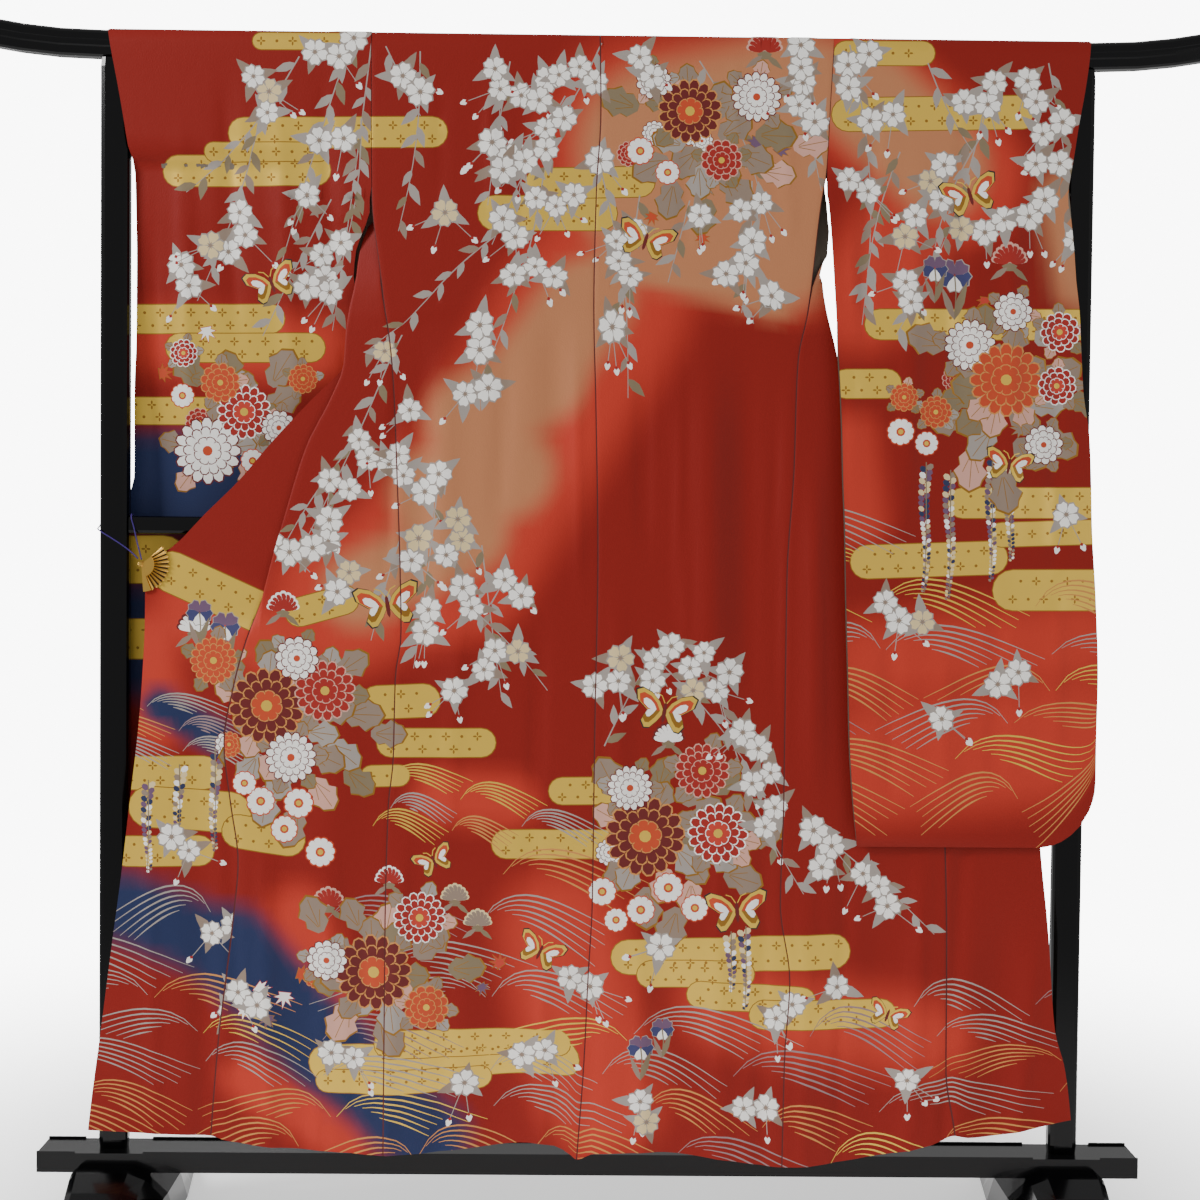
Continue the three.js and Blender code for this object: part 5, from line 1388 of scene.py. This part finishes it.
def collar_front(edge, side, low):
    """Rows of the collar down one front edge, each across from the seam to the free edge."""
    z = np.linspace(BAR, low, round((BAR - low) / 14) + 1)[:, None]
    slope = (edge["x"](z - 4) - edge["x"](z + 4)) / -8
    steep = np.radians(mix(40, 50, np.clip((z - 1556) / 16, 0, 1))) * smooth((z - 1530) / 26)
    angle = np.maximum(np.arctan(np.abs(slope)), steep)
    t = COLLAR_COLUMNS[None, :]
    x = edge["x"](z) - side * 1.5 * smooth((z - 1556) / 16)
    return place(x - side * np.cos(angle) * COLLAR_WIDTH * t, edge["behind"](z) + COLLAR_BEHIND,
                 z - np.sin(angle) * COLLAR_WIDTH * t)


def collar_neck(share, start):
    s = start + COLLAR_WIDTH * COLLAR_COLUMNS
    x = share * mix(NECK - 1, NECK / 2 + start / 4, COLLAR_COLUMNS)
    return np.stack([x, COLLAR_FALL["y"](s), COLLAR_FALL["z"](s)], -1)


collar_rows = np.concatenate([
    collar_front(LEFT_EDGE, -1, 878)[::-1],
    [collar_neck(-1, 20), collar_neck(-1, 10.5)], [collar_neck(k, 0) for k in np.linspace(-1, 1, 9)],
    [collar_neck(1, 10.5), collar_neck(1, 20)], collar_front(RIGHT_EDGE, 1, 886)])


def grid_shell(name, points, thickness, look):
    """A thin closed shell on a grid of mid points."""
    lengths, across = points.shape[:2]
    count = lengths * across
    along_step, across_step = np.gradient(points, axis=0), np.gradient(points, axis=1)
    normal = np.cross(along_step, across_step)
    normal /= np.maximum(np.linalg.norm(normal, axis=-1, keepdims=True), 1e-9)
    cells = [[i * across + j, i * across + j + 1, (i + 1) * across + j + 1, (i + 1) * across + j]
             for i in range(lengths - 1) for j in range(across - 1)]
    top = (points + normal * thickness / 2).reshape(-1, 3)
    low = (points - normal * thickness / 2).reshape(-1, 3)
    last = across - 1
    rim = [i * across for i in range(lengths)] + [(lengths - 1) * across + j for j in range(1, across)]
    rim += [i * across + last for i in reversed(range(lengths - 1))] + list(reversed(range(1, last)))
    faces = [c[::-1] for c in cells] + [[count + v for v in c] for c in cells]
    faces += [[a, b, count + b, count + a] for a, b in zip(rim, rim[1:] + rim[:1])]
    mesh = bpy.data.meshes.new(name)
    mesh.from_pydata((np.concatenate([top, low]) * MM).tolist(), [], faces)
    mesh.materials.append(look)
    mesh.polygons.foreach_set("use_smooth", [True] * len(faces))
    mesh.update()
    return linked(name, mesh)


band = grid_shell("collar_band", collar_rows, 2 * HALF_WALL, SILK[COLOUR_INDEX["red"]])
collar = finished(band, "collar")

# %% [markdown]
# The stand and the cord keep the shapes of their solids. The stand takes a glossy black lacquer.

# %% Stand and cord
STAND = ("top_beam", "post_left", "post_right", "foot_left", "foot_right", "mid_rail", "base_beam")
for name in STAND:
    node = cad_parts[name]
    node.data.materials.clear()
    node.data.materials.append(LACQUER)
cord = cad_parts["tie_cord"]
cord.data.materials.clear()
cord.data.materials.append(PURPLE_CORD)
print("stand and cord:", len(STAND) + 1, "nodes")

# %% [markdown]
# The clip is a small gilt fan. Ridged blades spread from a plain hub to scalloped tips, a dark plate
# closes the gaps between them, a broad guard ends the fan below, and a knob joins it to the jaw behind
# the cloth. One list of corners for each part is easier to read here than a stack of modifiers.

# %% Fan clip
CLIP_AT, CLIP_REACH, CLIP_TURN, CLIP_BLADES = (-607.5, 879.0), 37.0, (40, -86), 11
clip_low, clip_high = (np.array(corner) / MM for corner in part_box("fan_clip"))
FAN_FRONT = clip_low[1] + 2.2
JAW_BACK = clip_high[1]
clip_points, clip_faces, clip_slots = [], [], []


def clip_part(points, faces, slot):
    """Corners given as (x, y, z), x and z from the knob."""
    clip_faces.extend([[len(clip_points) + v for v in face] for face in faces])
    clip_slots.extend([slot] * len(faces))
    clip_points.extend([(CLIP_AT[0] + x, y, CLIP_AT[1] + z) for x, y, z in points])


def plate(outline, near, far, slot=0):
    n = len(outline)
    clip_part([(x, y, z) for y in (near, far) for x, z in outline],
              [list(range(n)), list(range(2 * n - 1, n - 1, -1))]
              + [[k, k + n, (k + 1) % n + n, (k + 1) % n] for k in range(n)], slot)


def sector(first, last, reach, steps=10):
    angles = np.radians(np.linspace(first, last, steps))
    return [(0.0, 0.0)] + [(math.cos(a) * reach, math.sin(a) * reach) for a in angles]


BLADE_FACES = [[0, 1, 4, 3], [1, 2, 5, 4], [0, 3, 5, 2], [0, 2, 1], [3, 4, 6], [4, 5, 6], [5, 3, 6]]
plate(sector(*CLIP_TURN, CLIP_REACH * 0.96, 18), FAN_FRONT + 1.2, FAN_FRONT + 1.8, 1)
plate(sector(*CLIP_TURN, CLIP_REACH * 0.47), FAN_FRONT - 0.2, FAN_FRONT + 1.2)
plate(sector(CLIP_TURN[1] + 17, CLIP_TURN[1], CLIP_REACH, 5), FAN_FRONT - 0.4, FAN_FRONT + 1.2)
for angle in np.radians(np.linspace(CLIP_TURN[0] - 2, CLIP_TURN[1] + 20, CLIP_BLADES)):
    out, side = np.array([math.cos(angle), math.sin(angle)]), np.array([-math.sin(angle), math.cos(angle)])
    corners = []
    for share, half in ((0.44, 1.0), (0.97, 2.1)):
        for shift, lift in ((-half, 0.9), (0, -0.7), (half, 0.9)):
            x, z = out * CLIP_REACH * share + side * shift
            corners.append((x, FAN_FRONT + lift, z))
    corners.append((out[0] * CLIP_REACH * 1.03, FAN_FRONT + 0.3, out[1] * CLIP_REACH * 1.03))
    clip_part(corners, BLADE_FACES, 0)
plate([(-4, 3), (-4, -3), (4, -5), (22, -9), (24, 2), (4, 5)], JAW_BACK - 1.4, JAW_BACK)
KNOB_SIDES = 16
KNOB = [(0.4, 0.1), (2.6, 0.5), (3.8, 1.9), (3.8, 3.4), (2.2, 4.2), (2.2, JAW_BACK - clip_low[1] - 0.2)]
around = [2 * math.pi * k / KNOB_SIDES for k in range(KNOB_SIDES)]
knob_rings = [[i * KNOB_SIDES + k for k in range(KNOB_SIDES)] for i in range(len(KNOB))]
clip_part([(math.cos(a) * r - 1.2, clip_low[1] + y, math.sin(a) * r) for r, y in KNOB for a in around],
          [[near[k], near[(k + 1) % KNOB_SIDES], far[(k + 1) % KNOB_SIDES], far[k]]
           for near, far in zip(knob_rings, knob_rings[1:]) for k in range(KNOB_SIDES)]
          + [knob_rings[0], knob_rings[-1]], 0)
mesh = bpy.data.meshes.new("fan clip")
mesh.from_pydata((np.array(clip_points) * MM).tolist(), [], clip_faces)
mesh.materials.append(GILT)
mesh.materials.append(DARK_GILT)
mesh.polygons.foreach_set("material_index", clip_slots)
tidy = bmesh.new()
tidy.from_mesh(mesh)
bmesh.ops.recalc_face_normals(tidy, faces=tidy.faces)
tidy.to_mesh(mesh)
tidy.free()
finished(linked("gilt_fan_clip", mesh), "fan_clip")
print("fan clip:", len(mesh.polygons), "faces")

# %% [markdown]
# The floor is a pale disc. It turns clear towards its rim, so that it melts into the white room and no
# horizon line crosses the view.

# %% Floor
FLOOR_WHOLE, FLOOR_GONE = 0.5, 2.2
bpy.ops.mesh.primitive_circle_add(vertices=96, radius=FLOOR_GONE, fill_type="NGON")
floor = bpy.context.object
floor.name = "floor"
pale = material("pale floor", (238, 238, 238), 0.75, Emission_Color=(1, 1, 1, 1), Emission_Strength=0.5)
spot = Socket(pale.node_tree, pale.node_tree.nodes.new("ShaderNodeNewGeometry").outputs["Position"])
out = spot.node("ShaderNodeVectorMath", {"operation": "DISTANCE"}, _0=spot, _1=(0, 0, 0))
out.output = out.output.node.outputs["Value"]
whole = spot.node("ShaderNodeMapRange", {"interpolation_type": "SMOOTHSTEP"}, Value=out,
                  From_Min=FLOOR_GONE, From_Max=FLOOR_WHOLE)
pale.node_tree.links.new(whole.output, pale.node_tree.nodes["Principled BSDF"].inputs["Alpha"])
floor.data.materials.append(pale)
floor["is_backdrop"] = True
print("floor:", FLOOR_GONE, "m to its rim")

# %% [markdown]
# The box of what shows is written beside that of the solids, so the two can be compared.

# %% Finish
visual_box = [list(corner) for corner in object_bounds()]
print("visual box", [[round(v, 3) for v in c] for c in visual_box])
